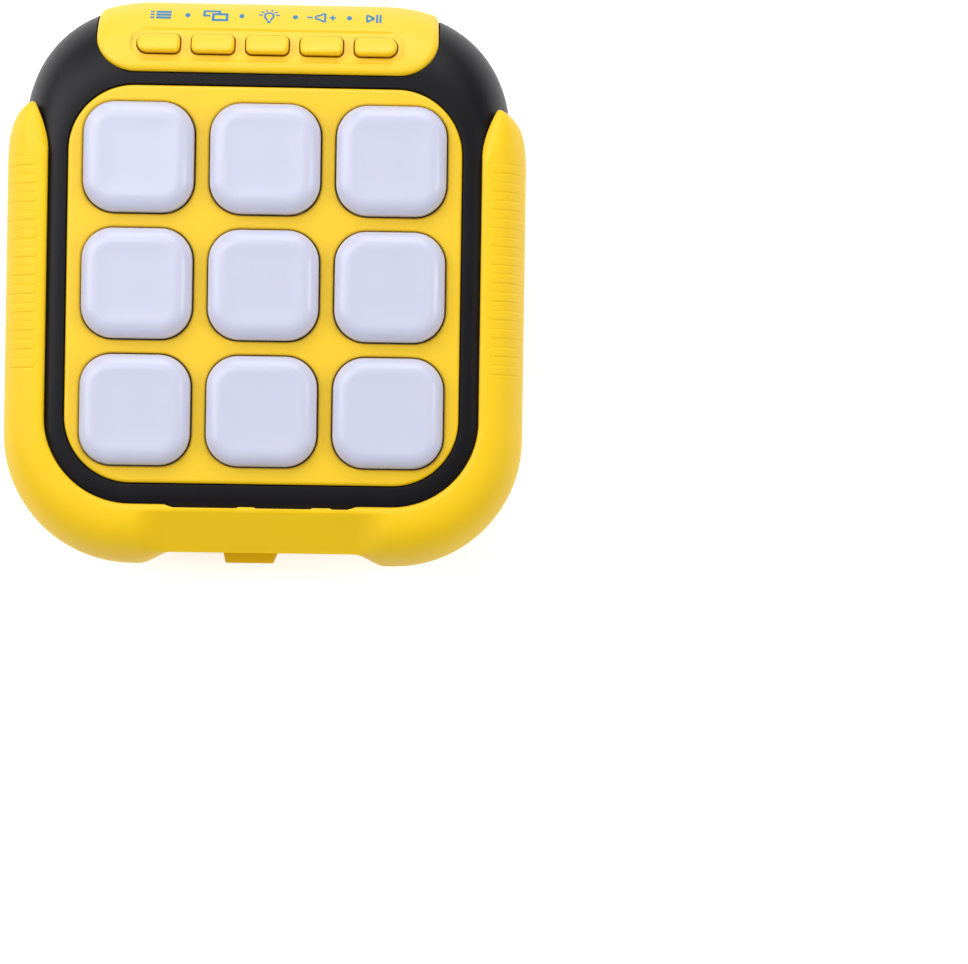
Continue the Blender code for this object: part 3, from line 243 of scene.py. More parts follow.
def round_rims(piece, width, segments, chosen):
    """Round the sharp edges whose middle passes a test."""
    work = bmesh.new()
    work.from_mesh(piece.data)
    bmesh.ops.remove_doubles(work, verts=work.verts[:], dist=FIT / 100)
    rims = []
    for edge in work.edges:
        sharp = len(edge.link_faces) == 2 and edge.calc_face_angle() > math.radians(60)
        if sharp and chosen((edge.verts[0].co + edge.verts[1].co) / 2):
            rims.append(edge)
    bmesh.ops.bevel(
        work,
        geom=rims,
        offset=width,
        offset_type="OFFSET",
        segments=segments,
        profile=0.5,
        affect="EDGES",
        clamp_overlap=True,
        material=-1,
    )
    work.to_mesh(piece.data)
    work.free()
    return len(rims)


def dress(piece, material, body, *nodes, slot=None):
    """Give a piece its finish and its body, and hide the solids that it stands for."""
    piece.data.materials.clear()
    piece.data.materials.append(material)
    piece.data.shade_smooth()
    piece.data.set_sharp_from_angle(angle=SMOOTH_ANGLE)
    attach(piece, body)
    if nodes:
        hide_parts(*nodes)
    return piece


def level(piece):
    """Let large flat faces decide the shading at their edges, so that they look flat."""
    modifier = piece.modifiers.new("level", "WEIGHTED_NORMAL")
    modifier.keep_sharp = True
    return apply_modifiers(piece)


print("piece helpers ready, smooth up to", round(math.degrees(SMOOTH_ANGLE)), "degrees")

# %% [markdown]
# ## Finishes
# Moulded plastic is never one flat colour: it has a fine grain from the mould and drifts a
# little in tone and gloss. Both come from noise, so they are built once as a node group and
# each material sets its own scale. Object coordinates keep the grain fixed to the piece.

# %% The grain that all plastics share


def make_grain_group():
    """Noise in two sizes: a slow drift of tone and a fine height for the bump."""
    group = bpy.data.node_groups.new("moulded_grain", "ShaderNodeTree")
    group.interface.new_socket("Grain Scale", in_out="INPUT", socket_type="NodeSocketFloat")
    group.interface.new_socket("Drift Scale", in_out="INPUT", socket_type="NodeSocketFloat")
    group.interface.new_socket("Drift", in_out="OUTPUT", socket_type="NodeSocketFloat")
    group.interface.new_socket("Height", in_out="OUTPUT", socket_type="NodeSocketFloat")
    enter = group.nodes.new("NodeGroupInput")
    leave = group.nodes.new("NodeGroupOutput")
    place = group.nodes.new("ShaderNodeTexCoord")
    for scale, output, detail in (("Grain Scale", "Height", 3.0), ("Drift Scale", "Drift", 2.0)):
        noise = group.nodes.new("ShaderNodeTexNoise")
        noise.inputs["Detail"].default_value = detail
        group.links.new(place.outputs["Object"], noise.inputs["Vector"])
        group.links.new(enter.outputs[scale], noise.inputs["Scale"])
        group.links.new(noise.outputs["Fac"], leave.inputs[output])
    return group


GRAIN = make_grain_group()
print("group outputs:", [socket.name for socket in GRAIN.interface.items_tree if socket.in_out == "OUTPUT"])

# %% A material that uses the grain


def plastic(name, light, dark, gloss, grain=2600.0, drift=45.0, bump=0.05, metallic=0.0, **sockets):
    """A grained material between two colours, with a low and a high roughness."""
    material = bpy.data.materials.new(name)
    material.use_nodes = True
    nodes, links = material.node_tree.nodes, material.node_tree.links
    shader = nodes["Principled BSDF"]
    grained = nodes.new("ShaderNodeGroup")
    grained.node_tree = GRAIN
    grained.inputs["Grain Scale"].default_value = grain
    grained.inputs["Drift Scale"].default_value = drift
    blend = nodes.new("ShaderNodeMix")
    blend.data_type = "RGBA"
    blend.inputs["A"].default_value = (*dark, 1.0)
    blend.inputs["B"].default_value = (*light, 1.0)
    rough = nodes.new("ShaderNodeMapRange")
    rough.inputs["To Min"].default_value, rough.inputs["To Max"].default_value = gloss
    relief = nodes.new("ShaderNodeBump")
    relief.inputs["Strength"].default_value = bump
    relief.inputs["Distance"].default_value = 0.0002
    links.new(grained.outputs["Drift"], blend.inputs["Factor"])
    links.new(grained.outputs["Drift"], rough.inputs["Value"])
    links.new(grained.outputs["Height"], relief.inputs["Height"])
    links.new(blend.outputs["Result"], shader.inputs["Base Color"])
    links.new(rough.outputs["Result"], shader.inputs["Roughness"])
    links.new(relief.outputs["Normal"], shader.inputs["Normal"])
    shader.inputs["Metallic"].default_value = metallic
    for socket, value in sockets.items():
        shader.inputs[socket.replace("_", " ")].default_value = value
    return material


YELLOW = plastic("yellow_shell", (0.975, 0.630, 0.002), (0.945, 0.600, 0.002), (0.46, 0.54), bump=0.04, Specular_IOR_Level=0.85)
SOFT_YELLOW = plastic("yellow_grip", (0.975, 0.630, 0.002), (0.940, 0.597, 0.002), (0.52, 0.60), bump=0.08, Specular_IOR_Level=0.55)
BLACK = plastic(
    "black_shell",
    (0.009, 0.0085, 0.011),
    (0.0065, 0.006, 0.0085),
    (0.37, 0.46),
    bump=0.10,
    Specular_IOR_Level=0.25,
)
BACK = plastic("black_back", (0.024, 0.023, 0.026), (0.015, 0.015, 0.017), (0.50, 0.62), 1700.0, 30.0, 0.35)
KEY_WHITE = plastic(
    "key_white",
    (0.640, 0.655, 0.815),
    (0.620, 0.636, 0.798),
    (0.20, 0.26),
    bump=0.02,
    Subsurface_Weight=0.15,
    Subsurface_Scale=0.002,
)
PRINT = plastic("print_blue", (0.003, 0.230, 0.440), (0.003, 0.200, 0.400), (0.45, 0.55), 4000.0, 900.0, 0.05)
SILICONE = plastic("clear_silicone", (0.780, 0.800, 0.800), (0.720, 0.740, 0.745), (0.34, 0.46), 1500.0, 60.0, 0.05)
STEEL = plastic("zinc_plate", (0.560, 0.560, 0.570), (0.440, 0.440, 0.450), (0.28, 0.42), 3000.0, 400.0, 0.05, 1.0)
NICKEL = plastic("nickel_spring", (0.640, 0.610, 0.560), (0.520, 0.500, 0.460), (0.28, 0.38), 3000.0, 300.0, 0.04, 1.0)
print("materials so far:", len(bpy.data.materials))

# %% [markdown]
# ## The case
# The side of the case is one curve: from the flat front it rolls over to the widest line and
# back under to the flat rear face. Here every outline grows from the face's outline to the
# widest one with the sine of a turn, while the height follows the cosine, which makes the
# side a quarter of an ellipse. An offset moves the whole surface out or in.

# %% Outlines of the case at a turn
CASE_STEPS = 22


def case_ring(turn, offset, front=True):
    """One ring round the case: turn 0 is the flat face and 90 degrees the widest line."""
    reach = math.sin(turn)
    drop = (FRONT_DROP if front else PARTING_Z) + offset
    height = PARTING_Z + (drop if front else -drop) * math.cos(turn)
    half = FACE_HALF_X + (CASE_HALF_X + offset - FACE_HALF_X) * reach
    low = FACE_LOW_Y + (CASE_LOW_Y - offset - FACE_LOW_Y) * reach
    high = FACE_HIGH_Y + (CASE_HIGH_Y + offset - FACE_HIGH_Y) * reach
    low_corner = FACE_LOW_CORNER + (CASE_LOW_CORNER + offset - FACE_LOW_CORNER) * reach
    high_corner = FACE_HIGH_CORNER + (CASE_HIGH_CORNER + offset - FACE_HIGH_CORNER) * reach
    corners = (low_corner, high_corner, high_corner, low_corner)
    return lift(outline(-half, half, low, high, corners, CASE_STEPS, (2.0, HIGH_POWER, HIGH_POWER, 2.0)), height)


def case_rings(offset, front, steps, stop=0.0):
    """Rings from the widest line to a last turn near the flat face."""
    turns = [QUARTER + (stop - QUARTER) * step / steps for step in range(1, steps + 1)]
    return [case_ring(turn, offset, front) for turn in turns]


def at_height(ring, height):
    """The same ring at another height."""
    return [(x, y, height) for x, y, _ in ring]


def panel_outline(offset):
    """The panel's outline, or one round or inside it."""
    half_x, half_y, corner = PANEL_HALF_X + offset, PANEL_HALF_Y + offset, PANEL_CORNER + offset
    return outline(-half_x, half_x, -half_y, half_y, (corner,) * 4, CASE_STEPS)


def front_solid(name, offset, low):
    """The front half as a solid, for cuts."""
    rings = [at_height(case_ring(QUARTER, offset), low)] + case_rings(offset, True, 14)
    return skinned(name, rings)


print("widest ring has", len(case_ring(QUARTER, 0.0)), "points")

# %% The openings for the keys
KEY_STEPS = 12


def key_outline(offset, centre=(0.0, 0.0)):
    """A key's outline, or its window's."""
    half, corner = KEY_WIDTH / 2 + offset, max(KEY_CORNER + offset, KEY_EDGE_WIDTH / 2)
    points = outline(-half, half, -half, half, (corner,) * 4, KEY_STEPS)
    return [(x + centre[0], y + centre[1]) for x, y in points]


def key_windows(offset=KEY_GAP, low=PARTING_Z, high=CASE_DEPTH + OVERRUN):
    """The nine openings, or what lines them, as one tool."""
    return prisms("windows", [key_outline(offset, centre) for centre in KEY_CENTRES], low, high)


COLLAR = 0.0007
print("window width:", KEY_WIDTH + 2 * KEY_GAP)

# %% [markdown]
# ## The black front shell
# One row of rings makes the whole shell: the ceiling inside, down the inner wall, out over
# the rim, up the rolled side, over the flat ring and down into the panel's pocket. The key
# openings and the cover's pocket are cut out afterwards.

# %% Build the front shell
COVER_HALF_X = 0.0395
COVER_CORNER = 0.0095
COVER_PROUD = 0.0009
COVER_THICKNESS = 0.0020
BUTTON_Y = 0.0554
RIM_ROUND = 0.00025


def cover_plan(offset):
    """The cover's outline from the front, open towards the top."""
    half, corner = COVER_HALF_X + offset, COVER_CORNER + offset
    return outline(-half, half, FACE_HIGH_Y - offset, CASE_HIGH_Y + OVERRUN, (corner, FIT, FIT, corner), CASE_STEPS)


def build_front_shell():
    """Rolled shell with a pocket for the panel and one for the cover."""
    rim, floor = PARTING_Z + FIT / 2, CASE_DEPTH - PANEL_THICKNESS - FIT
    stop = math.acos((CEILING_Z - PARTING_Z) / (FRONT_DROP - FRAME_WALL))
    inside = case_rings(-FRAME_WALL, True, 8, stop)[::-1]
    rings = inside + [at_height(case_ring(QUARTER, -FRAME_WALL), rim), at_height(case_ring(QUARTER, 0.0), rim)]
    rings += case_rings(0.0, True, 20)
    for turn in (90, 45, 0):
        angle = math.radians(turn)
        inset = FIT + RIM_ROUND * (1.0 - math.cos(angle))
        rings.append(lift(panel_outline(inset), RING_Z - RIM_ROUND * (1.0 - math.sin(angle))))
    rings.append(lift(panel_outline(FIT), floor))
    shell = skinned("front_shell", rings)
    combine(shell, key_windows(KEY_GAP + COLLAR + FIT / 3))
    pocket = prisms("pocket", [cover_plan(FIT)], PARTING_Z - OVERRUN, CASE_DEPTH + OVERRUN)
    combine(pocket, front_solid("core", COVER_PROUD - COVER_THICKNESS - FIT, PARTING_Z - 2 * OVERRUN))
    combine(shell, pocket)
    slot = outline(-0.0311, 0.0311, BUTTON_Y - 0.00355, BUTTON_Y + 0.00355, (0.0031,) * 4, 8)
    return combine(shell, prisms("slot", [slot], PARTING_Z, CASE_DEPTH + OVERRUN))


front_shell = level(dress(build_front_shell(), BLACK, "case", "front_frame"))
print("front shell faces:", len(front_shell.data.polygons))

# %% [markdown]
# ## The yellow panel
# The panel is a flat plate with a rounded rim. Its nine windows are cut with one tool and
# their rims are rounded with a bevel, because a moulded window never has a sharp edge and
# the soft line round each key comes from that rounding. Each window has a collar that lines
# the black shell, so the gap round a key looks brown and not black.

# %% Build the panel
PANEL_EDGE = 0.0009
WINDOW_EDGE = 0.0006


def build_panel():
    """Plate with a rounded rim and nine rounded windows."""
    rings = [lift(panel_outline(0.0), CASE_DEPTH - PANEL_THICKNESS)]
    for turn in (90, 72, 54, 36, 18, 0):
        angle = math.radians(turn)
        inset = PANEL_EDGE * (1.0 - math.sin(angle))
        rings.append(lift(panel_outline(-inset), CASE_DEPTH - PANEL_EDGE * (1.0 - math.cos(angle))))
    collars = key_windows(KEY_GAP + COLLAR, CEILING_Z, CASE_DEPTH - PANEL_THICKNESS + FIT)
    panel = combine(combine(skinned("panel", rings), collars, "UNION"), key_windows())
    inside = PANEL_HALF_X - 2 * PANEL_EDGE
    top = CASE_DEPTH - FIT
    rims = round_rims(panel, WINDOW_EDGE, 4, lambda point: point.z > top and max(abs(point.x), abs(point.y)) < inside)
    print("rounded rim edges:", rims)
    return panel


panel = level(dress(build_panel(), YELLOW, "case", "key_panel"))
print("panel faces:", len(panel.data.polygons))

# %% [markdown]
# ## The keys
# Each key is a hollow cap with a wide rounded edge and a slightly dished top. It is skinned
# from the middle of its top outwards, down its side, round the flange that keeps it in, and
# up inside. The edge is an ellipse, wider than it is deep.

# %% Build the nine keys
KEY_DISH = 0.0002
KEY_CENTRE_HALF = 0.0040


def key_profile():
    """Pairs of inset from the key's side and height above the panel."""
    half = KEY_WIDTH / 2
    profile = []
    for step in range(6):
        inset = half - KEY_CENTRE_HALF - (half - KEY_CENTRE_HALF - KEY_EDGE_WIDTH) * step / 6
        share = (step / 6) ** 2
        profile.append((inset, KEY_RISE - KEY_DISH * (1.0 - share)))
    for step in range(11):
        angle = QUARTER * step / 10
        inset = KEY_EDGE_WIDTH * (1.0 - math.sin(angle))
        profile.append((inset, KEY_RISE - KEY_EDGE_DROP * (1.0 - math.cos(angle))))
    top, bottom = CEILING_Z - FIT - CASE_DEPTH, CEILING_Z - FIT - KEY_FLANGE - CASE_DEPTH
    profile += [(0.0, top), (-KEY_FLANGE, top), (-KEY_FLANGE, bottom), (KEY_WALL, bottom)]
    return profile + [(KEY_WALL, KEY_RISE - KEY_EDGE_DROP), (KEY_EDGE_WIDTH, KEY_RISE - KEY_WALL)]


def build_key(number, centre):
    """One key at its place."""
    rings = [lift(key_outline(-inset, centre), CASE_DEPTH + height) for inset, height in key_profile()]
    return skinned(f"key_cap_{number}", rings)


for number, centre in enumerate(KEY_CENTRES, start=1):
    dress(build_key(number, centre), KEY_WHITE, f"key_{number}_body", f"key_{number}")
print("keys made:", len(KEY_CENTRES), "with", len(key_profile()), "rings each")

# %% [markdown]
# ## The rolled cover
# The cover follows the case over the top edge. A grid suits it: its columns run across the
# game and its rows over the roll, from the rounded lower edge to the widest line. Each
# corner of the grid is placed on the case's surface, moved out by an offset that falls off
# near the edge and inside the shallow stadium round the buttons.

# %% Points on the cover
COVER_EDGE = 0.0012
STADIUM_HALF_X = 0.0315
STADIUM_HALF_Y = 0.0039
STADIUM_DEPTH = 0.0004
STADIUM_SOFT = 0.00025


def roll_point(x, turn, offset):
    """A point of the case's upper side, at a place across and a turn."""
    reach = math.sin(turn)
    half = FACE_HALF_X + (CASE_HALF_X + offset - FACE_HALF_X) * reach
    high = FACE_HIGH_Y + (CASE_HIGH_Y + offset - FACE_HIGH_Y) * reach
    corner = FACE_HIGH_CORNER + (CASE_HIGH_CORNER + offset - FACE_HIGH_CORNER) * reach
    past = max(0.0, abs(x) - (half - corner)) / corner
    y = high - corner + corner * max(0.0, 1.0 - past**HIGH_POWER) ** (1.0 / HIGH_POWER)
    return (x, y, PARTING_Z + (FRONT_DROP + offset) * math.cos(turn))


def lower_edge(x):
    """How far up the cover starts, at a place across."""
    past = min(1.0, max(0.0, abs(x) - (COVER_HALF_X - COVER_CORNER)) / COVER_CORNER)
    return FACE_HIGH_Y + COVER_CORNER * (1.0 - math.sqrt(1.0 - past * past))


def first_turn(x):
    """The turn at which the cover starts, found by halving."""
    low, high = 0.0, QUARTER
    for _ in range(40):
        middle = (low + high) / 2
        if roll_point(x, middle, COVER_PROUD)[1] < lower_edge(x):
            low = middle
        else:
            high = middle
    return high


def cover_offset(x, y):
    """How far the cover's surface stands off the case."""
    across = abs(x) - (COVER_HALF_X - COVER_CORNER)
    below = FACE_HIGH_Y + COVER_CORNER - y
    inside = COVER_CORNER - math.hypot(max(across, 0.0), max(below, 0.0)) - min(max(across, below), 0.0)
    near = max(0.0, 1.0 - inside / COVER_EDGE)
    drop = COVER_EDGE * (1.0 - math.sqrt(max(0.0, 1.0 - near * near)))
    ends = max(0.0, abs(x) - (STADIUM_HALF_X - STADIUM_HALF_Y))
    away = math.hypot(ends, y - BUTTON_Y) - STADIUM_HALF_Y
    share = min(1.0, max(0.0, 0.5 - away / STADIUM_SOFT))
    return COVER_PROUD - drop - STADIUM_DEPTH * share * share * (3.0 - 2.0 * share)


print("the cover starts at", round(math.degrees(first_turn(0.0)), 1), "degrees in the middle")

# %% Build the cover
EDGE_SHARES = (0.0, 0.04, 0.12, 0.25, 0.45, 0.70, 1.0)
BUTTON_WIDTH = 0.0098
BUTTON_HEIGHT = 0.0046
BUTTON_CORNER = 0.0014
BUTTON_END = 0.0023
BUTTON_XS = [step * 0.0125 for step in (-2, -1, 0, 1, 2)]


def button_outline(index, offset):
    """A small button's outline: rounder at the two ends of the row."""
    right = max(offset + (BUTTON_END if index == 4 else BUTTON_CORNER), FIT / 3)
    left = max(offset + (BUTTON_END if index == 0 else BUTTON_CORNER), FIT / 3)
    half_x, half_y = BUTTON_WIDTH / 2 + offset, BUTTON_HEIGHT / 2 + offset
    points = outline(-half_x, half_x, -half_y, half_y, (right, right, left, left), 6)
    return [(x + BUTTON_XS[index], y + BUTTON_Y) for x, y in points]


def cover_columns():
    """Places across the cover, close together at its sides."""
    inner = COVER_HALF_X - COVER_EDGE
    left = [-COVER_HALF_X + COVER_EDGE * share for share in EDGE_SHARES]
    middle = [-inner + 2 * inner * step / 180 for step in range(1, 180)]
    return left + middle + [-x for x in reversed(left)]


def build_cover():
    """Grid over the roll, given its thickness and cut for the buttons."""
    columns = cover_columns()
    rows = [share * 0.055 for share in EDGE_SHARES] + [0.055 + 0.945 * step / 62 for step in range(1, 63)]
    work = bmesh.new()
    bmesh.ops.create_grid(work, x_segments=len(columns) - 1, y_segments=len(rows) - 1, size=1.0)
    starts = [first_turn(x) for x in columns]
    for corner in work.verts:
        column = round((corner.co.x + 1.0) / 2.0 * (len(columns) - 1))
        row = round((corner.co.y + 1.0) / 2.0 * (len(rows) - 1))
        x, turn = columns[column], starts[column] + (QUARTER - starts[column]) * rows[row]
        point = roll_point(x, turn, COVER_PROUD)
        corner.co = roll_point(x, turn, cover_offset(x, point[1]))
        corner.co.z = max(corner.co.z, PARTING_Z + FIT / 2)
    bmesh.ops.recalc_face_normals(work, faces=work.faces[:])
    bmesh.ops.solidify(work, geom=work.faces[:], thickness=COVER_THICKNESS - STADIUM_DEPTH)
    cover = mesh_piece("cover", work)
    windows = [button_outline(index, FIT) for index in range(5)]
    return combine(cover, prisms("windows", windows, PARTING_Z + OVERRUN, CASE_DEPTH + OVERRUN))


cover = dress(build_cover(), YELLOW, "case", "control_cover")
print("cover faces:", len(cover.data.polygons), "box:", [round(side, 4) for side in cover.dimensions])

# %% [markdown]
# ## The small buttons
# A small button is a pillow: its face leans more than the cover and swells a little in the
# middle, its lower edge is widely rounded and its upper edge is almost flush. The height of
# each ring's corner is worked out from the cover's roll, so one function fits all five.

# %% Build the small buttons
BUTTON_PROUD = 0.00155
BUTTON_LEAN = 0.27
BUTTON_EDGE = 0.0008
BUTTON_LOW_EDGE = 0.0006
BUTTON_CROWN = 0.00012
BUTTON_UP = 0.00014
BUTTON_FLANGE, BUTTON_FLANGE_THICKNESS = 0.0008, 0.0007
BUTTON_REST_Z = 0.025524


def cover_height(y):
    """Height of the cover's outer face in the middle of the game."""
    share = min(1.0, max(0.0, (y - FACE_HIGH_Y) / (CASE_HIGH_Y + COVER_PROUD - FACE_HIGH_Y)))
    return PARTING_Z + (FRONT_DROP + COVER_PROUD) * math.sqrt(1.0 - share * share)


def button_ring(index, inset, down, crown):
    """One ring of a button's top: its edge is wider and deeper at the lower side."""
    ring = []
    for x, y in button_outline(index, -inset):
        low = 0.5 - (y - BUTTON_Y) / BUTTON_HEIGHT
        y += BUTTON_UP + BUTTON_LOW_EDGE * low * min(1.0, inset / BUTTON_EDGE)
        drop = (BUTTON_EDGE + BUTTON_LOW_EDGE * low) * down
        ring.append((x, y, cover_height(y) + BUTTON_PROUD - BUTTON_LEAN * (y - BUTTON_Y) - drop + crown))
    return ring


def build_button(index):
    """Flange, side, rounded edge and swelling face."""
    low, high = BUTTON_REST_Z, BUTTON_REST_Z + BUTTON_FLANGE_THICKNESS
    rings = [lift(button_outline(index, BUTTON_FLANGE), low), lift(button_outline(index, BUTTON_FLANGE), high)]
    rings.append([(x, y + BUTTON_UP, high) for x, y in button_outline(index, 0.0)])
    for step in range(9):
        angle = QUARTER * (1.0 - step / 8)
        rings.append(button_ring(index, BUTTON_EDGE * (1.0 - math.sin(angle)), 1.0 - math.cos(angle), 0.0))
    inner = BUTTON_HEIGHT / 2 - BUTTON_EDGE - FIT
    for share in (0.15, 0.4, 0.7, 1.0):
        rings.append(button_ring(index, BUTTON_EDGE + inner * share, 0.0, BUTTON_CROWN * math.sin(QUARTER * share)))
    return skinned(f"small_button_{index + 1}", rings)


for index in range(5):
    dress(build_button(index), YELLOW, f"strip_button_{index + 1}_body", f"strip_button_{index + 1}")
print("button height over the cover:", BUTTON_PROUD)

# %% [markdown]
# ## Printed signs
# Five plain signs over the buttons say what they do: a list, two overlapping squares, a
# lamp, a loudspeaker between minus and plus, and play and pause. Each is a thin film laid on
# the cover: the flat shapes are sliced into narrow strips, so that they can bend, extruded
# a little, and every corner is set on the roll.

# %% Flat shapes for the signs
SIGN_Y = 0.0628
FILM = 0.00003
STRIP = 0.0003


def bar(left, right, low, high):
    """A bar of a sign, in millimetres from the sign's middle."""
    return [(left, low), (right, low), (right, high), (left, high)]


def stroke(start, end, width):
    """A straight line of one width."""
    along = (end[0] - start[0], end[1] - start[1])
    length = math.hypot(*along)
    side = (-along[1] / length * width / 2, along[0] / length * width / 2)
    return [
        (start[0] - side[0], start[1] - side[1]),
        (end[0] - side[0], end[1] - side[1]),
        (end[0] + side[0], end[1] + side[1]),
        (start[0] + side[0], start[1] + side[1]),
    ]


def frame_sign(left, right, low, high, width):
    """Four bars round a rectangle."""
    return [
        bar(left, right, low, low + width),
        bar(left, right, high - width, high),
        bar(left, left + width, low + width, high - width),
        bar(right - width, right, low + width, high - width),
    ]


def joined(corners, width, closed=False):
    """Strokes from corner to corner."""
    ends = corners[1:] + corners[:1] if closed else corners[1:]
    return [stroke(start, end, width) for start, end in zip(corners, ends)]


def list_sign():
    """Three dots with three lines."""
    shapes = []
    for y in (-0.8, 0.0, 0.8):
        shapes += [bar(-2.4, -1.5, y - 0.24, y + 0.24), bar(-1.1, 2.4, y - 0.31, y + 0.31)]
    return shapes


def squares_sign():
    """One frame behind another."""
    front = frame_sign(-0.9, 2.9, -1.5, 0.7, 0.6)
    behind = [bar(-3.0, -2.4, -0.3, 1.5), bar(-2.4, 1.1, 0.95, 1.5), bar(-2.4, -1.3, -0.3, 0.25)]
    return front + behind + [bar(0.5, 1.1, 0.7, 0.95)]


def lamp_sign():
    """A bulb that narrows towards its foot, with rays round it."""
    bulb = [(-0.35, -1.0), (-1.0, -0.1), (-1.0, 0.55), (-0.45, 1.0), (0.45, 1.0), (1.0, 0.55), (1.0, -0.1), (0.35, -1.0)]
    shapes = joined(bulb, 0.5) + [bar(-0.45, 0.45, -1.7, -1.15)]
    for turn in (8, 40, 72, 108, 140, 172):
        across, up = math.cos(math.radians(turn)), math.sin(math.radians(turn))
        shapes.append(stroke((1.5 * across, 0.2 + 1.3 * up), (2.5 * across, 0.2 + 1.9 * up), 0.38))
    return shapes


def speaker_sign():
    """A loudspeaker between minus and plus."""
    horn = joined([(-1.3, -0.4), (-0.6, -0.5), (0.9, -1.2), (0.9, 1.2), (-0.6, 0.5), (-1.3, 0.4)], 0.48, True)
    plus = [bar(1.9, 3.4, -0.23, 0.23), bar(2.42, 2.88, 0.23, 0.75), bar(2.42, 2.88, -0.75, -0.23)]
    return horn + [bar(-3.4, -2.0, -0.23, 0.23)] + plus


def play_sign():
    """Play and pause."""
    play = joined([(-1.5, -1.0), (0.2, 0.0), (-1.5, 1.0)], 0.52, True)
    return play + [bar(0.55, 1.05, -1.2, 1.2), bar(1.35, 1.85, -1.2, 1.2)]


print("bars in the list sign:", len(list_sign()))

# %% Lay the signs on the cover


def add_shape(work, points, centre_x):
    """Add one flat shape of a sign."""
    corners = [work.verts.new((centre_x + x / 1000, SIGN_Y + y / 1000, 0.0)) for x, y in points]
    edges = [work.edges.new((corners[index - 1], corners[index])) for index in range(len(corners))]
    bmesh.ops.contextual_create(work, geom=edges)


def lay_film(work):
    """Slice all shapes into strips, thicken them and set them on the roll."""
    for step in range(-8, 9):
        everything = work.verts[:] + work.edges[:] + work.faces[:]
        place = (0.0, SIGN_Y + (step + 0.37) * STRIP, 0.0)
        bmesh.ops.bisect_plane(work, geom=everything, dist=FILM / 100, plane_co=place, plane_no=(0.0, 1.0, 0.0))
    lower = work.verts[:]
    grown = bmesh.ops.extrude_face_region(work, geom=work.faces[:])["geom"]
    upper = [item for item in grown if isinstance(item, bmesh.types.BMVert)]
    for corners, rise in ((lower, -FILM), (upper, FILM)):
        for corner in corners:
            corner.co.z = cover_height(corner.co.y) + rise


def build_signs():
    """All signs and the dots between them, in one piece."""
    signs = [
        (-0.0249, list_sign()),
        (-0.0122, squares_sign()),
        (0.0001, lamp_sign()),
        (0.0122, speaker_sign()),
        (0.0243, play_sign()),
    ]
    dot = [circle(0.6, 16)]
    signs += [(x, dot) for x in (-0.0187, -0.0062, 0.0062, 0.0187)]
    work = bmesh.new()
    for centre_x, shapes in signs:
        for points in shapes:
            add_shape(work, points, centre_x)
    lay_film(work)
    return mesh_piece("printed_signs", work)


signs = dress(build_signs(), PRINT, "case", slot="control_cover")
print("sign faces:", len(signs.data.polygons))

# %% [markdown]
# ## The grip
# The grip is a C-shaped section swept down one side, round the bottom and up the other side.
# Rings along the path make it easy to vary: the section thins at the two upper ends, swells
# in small pills at the ribs, and is planed flat at the bottom.

# %% The grip's section
GRIP_WIDTH = 0.0107
GRIP_LOW = 0.01385
GRIP_LIP_CORNER, GRIP_CORNER = 0.0200, 0.0299
CREST_Z = 0.0322
CREST_INSET = 0.0012
LIP_DROP = 0.0009
REAR_CLEARANCE = 0.0004
GRIP_POWER = 2.0 / 2.4
FRONT_TURNS = (0, 0.5, 1.2, 2, 3, 4, 5.2, 6.4, 7.7, 9, 10.5, 12, 14, 17, 20, 24, 29, 35, 42, 50, 58, 66, 74, 82, 90)
REAR_TURNS = (84, 76, 68, 60, 52, 44, 37, 30, 24, 18, 12, 7, 3, 1, 0)


def grip_row(out, height):
    """A row of the grip: half width, low edge, corner radius and height."""
    share = out / GRIP_WIDTH
    corner = GRIP_LIP_CORNER + (GRIP_CORNER - GRIP_LIP_CORNER) * share
    return (LIP_HALF_X + out, LIP_LOW_Y - GRIP_LOW * share, corner, height)


def outer_row(turn, front, swell=0.0):
    """Outer face from its crest (0) to the side (90 degrees)."""
    angle = math.radians(turn)
    crest = (CREST_Z - PARTING_Z if front else PARTING_Z - REAR_CLEARANCE) + swell
    out = CREST_INSET + (GRIP_WIDTH - CREST_INSET + swell) * math.sin(angle) ** GRIP_POWER
    rise = crest * max(0.0, math.cos(angle)) ** GRIP_POWER
    return grip_row(out, PARTING_Z + (rise if front else -rise))


def lip_row(turn, front):
    """Rounded edge of the grip beside the black ring."""
    angle = math.radians(turn)
    crest = CREST_Z if front else REAR_CLEARANCE
    drop = LIP_DROP * (1.0 - math.sin(angle))
    return grip_row(CREST_INSET * (1.0 - math.cos(angle)), crest - drop if front else crest + drop)


def inner_row(turn, front):
    """Inner face, which follows the case at a small gap."""
    reach = math.sin(turn)
    drop = (FRONT_DROP if front else PARTING_Z) + FIT
    half = FACE_HALF_X + (CASE_HALF_X + FIT - FACE_HALF_X) * reach
    low = FACE_LOW_Y + (CASE_LOW_Y - FIT - FACE_LOW_Y) * reach
    corner = FACE_LOW_CORNER + (CASE_LOW_CORNER + FIT - FACE_LOW_CORNER) * reach
    return (half, low, corner, PARTING_Z + (drop if front else -drop) * math.cos(turn))


LIP_TURN = math.asin((LIP_HALF_X - FACE_HALF_X) / (CASE_HALF_X + FIT - FACE_HALF_X))
print("the inner face starts at", round(math.degrees(LIP_TURN), 1), "degrees")

# %% Rows of the section and how they thin out


def under(turn, front):
    """The inner row behind an outer one."""
    return inner_row(LIP_TURN + (QUARTER - LIP_TURN) * turn / 90, front)


def between(first, second, share):
    """Numbers between two rows."""
    return tuple(one + (two - one) * share for one, two in zip(first, second))


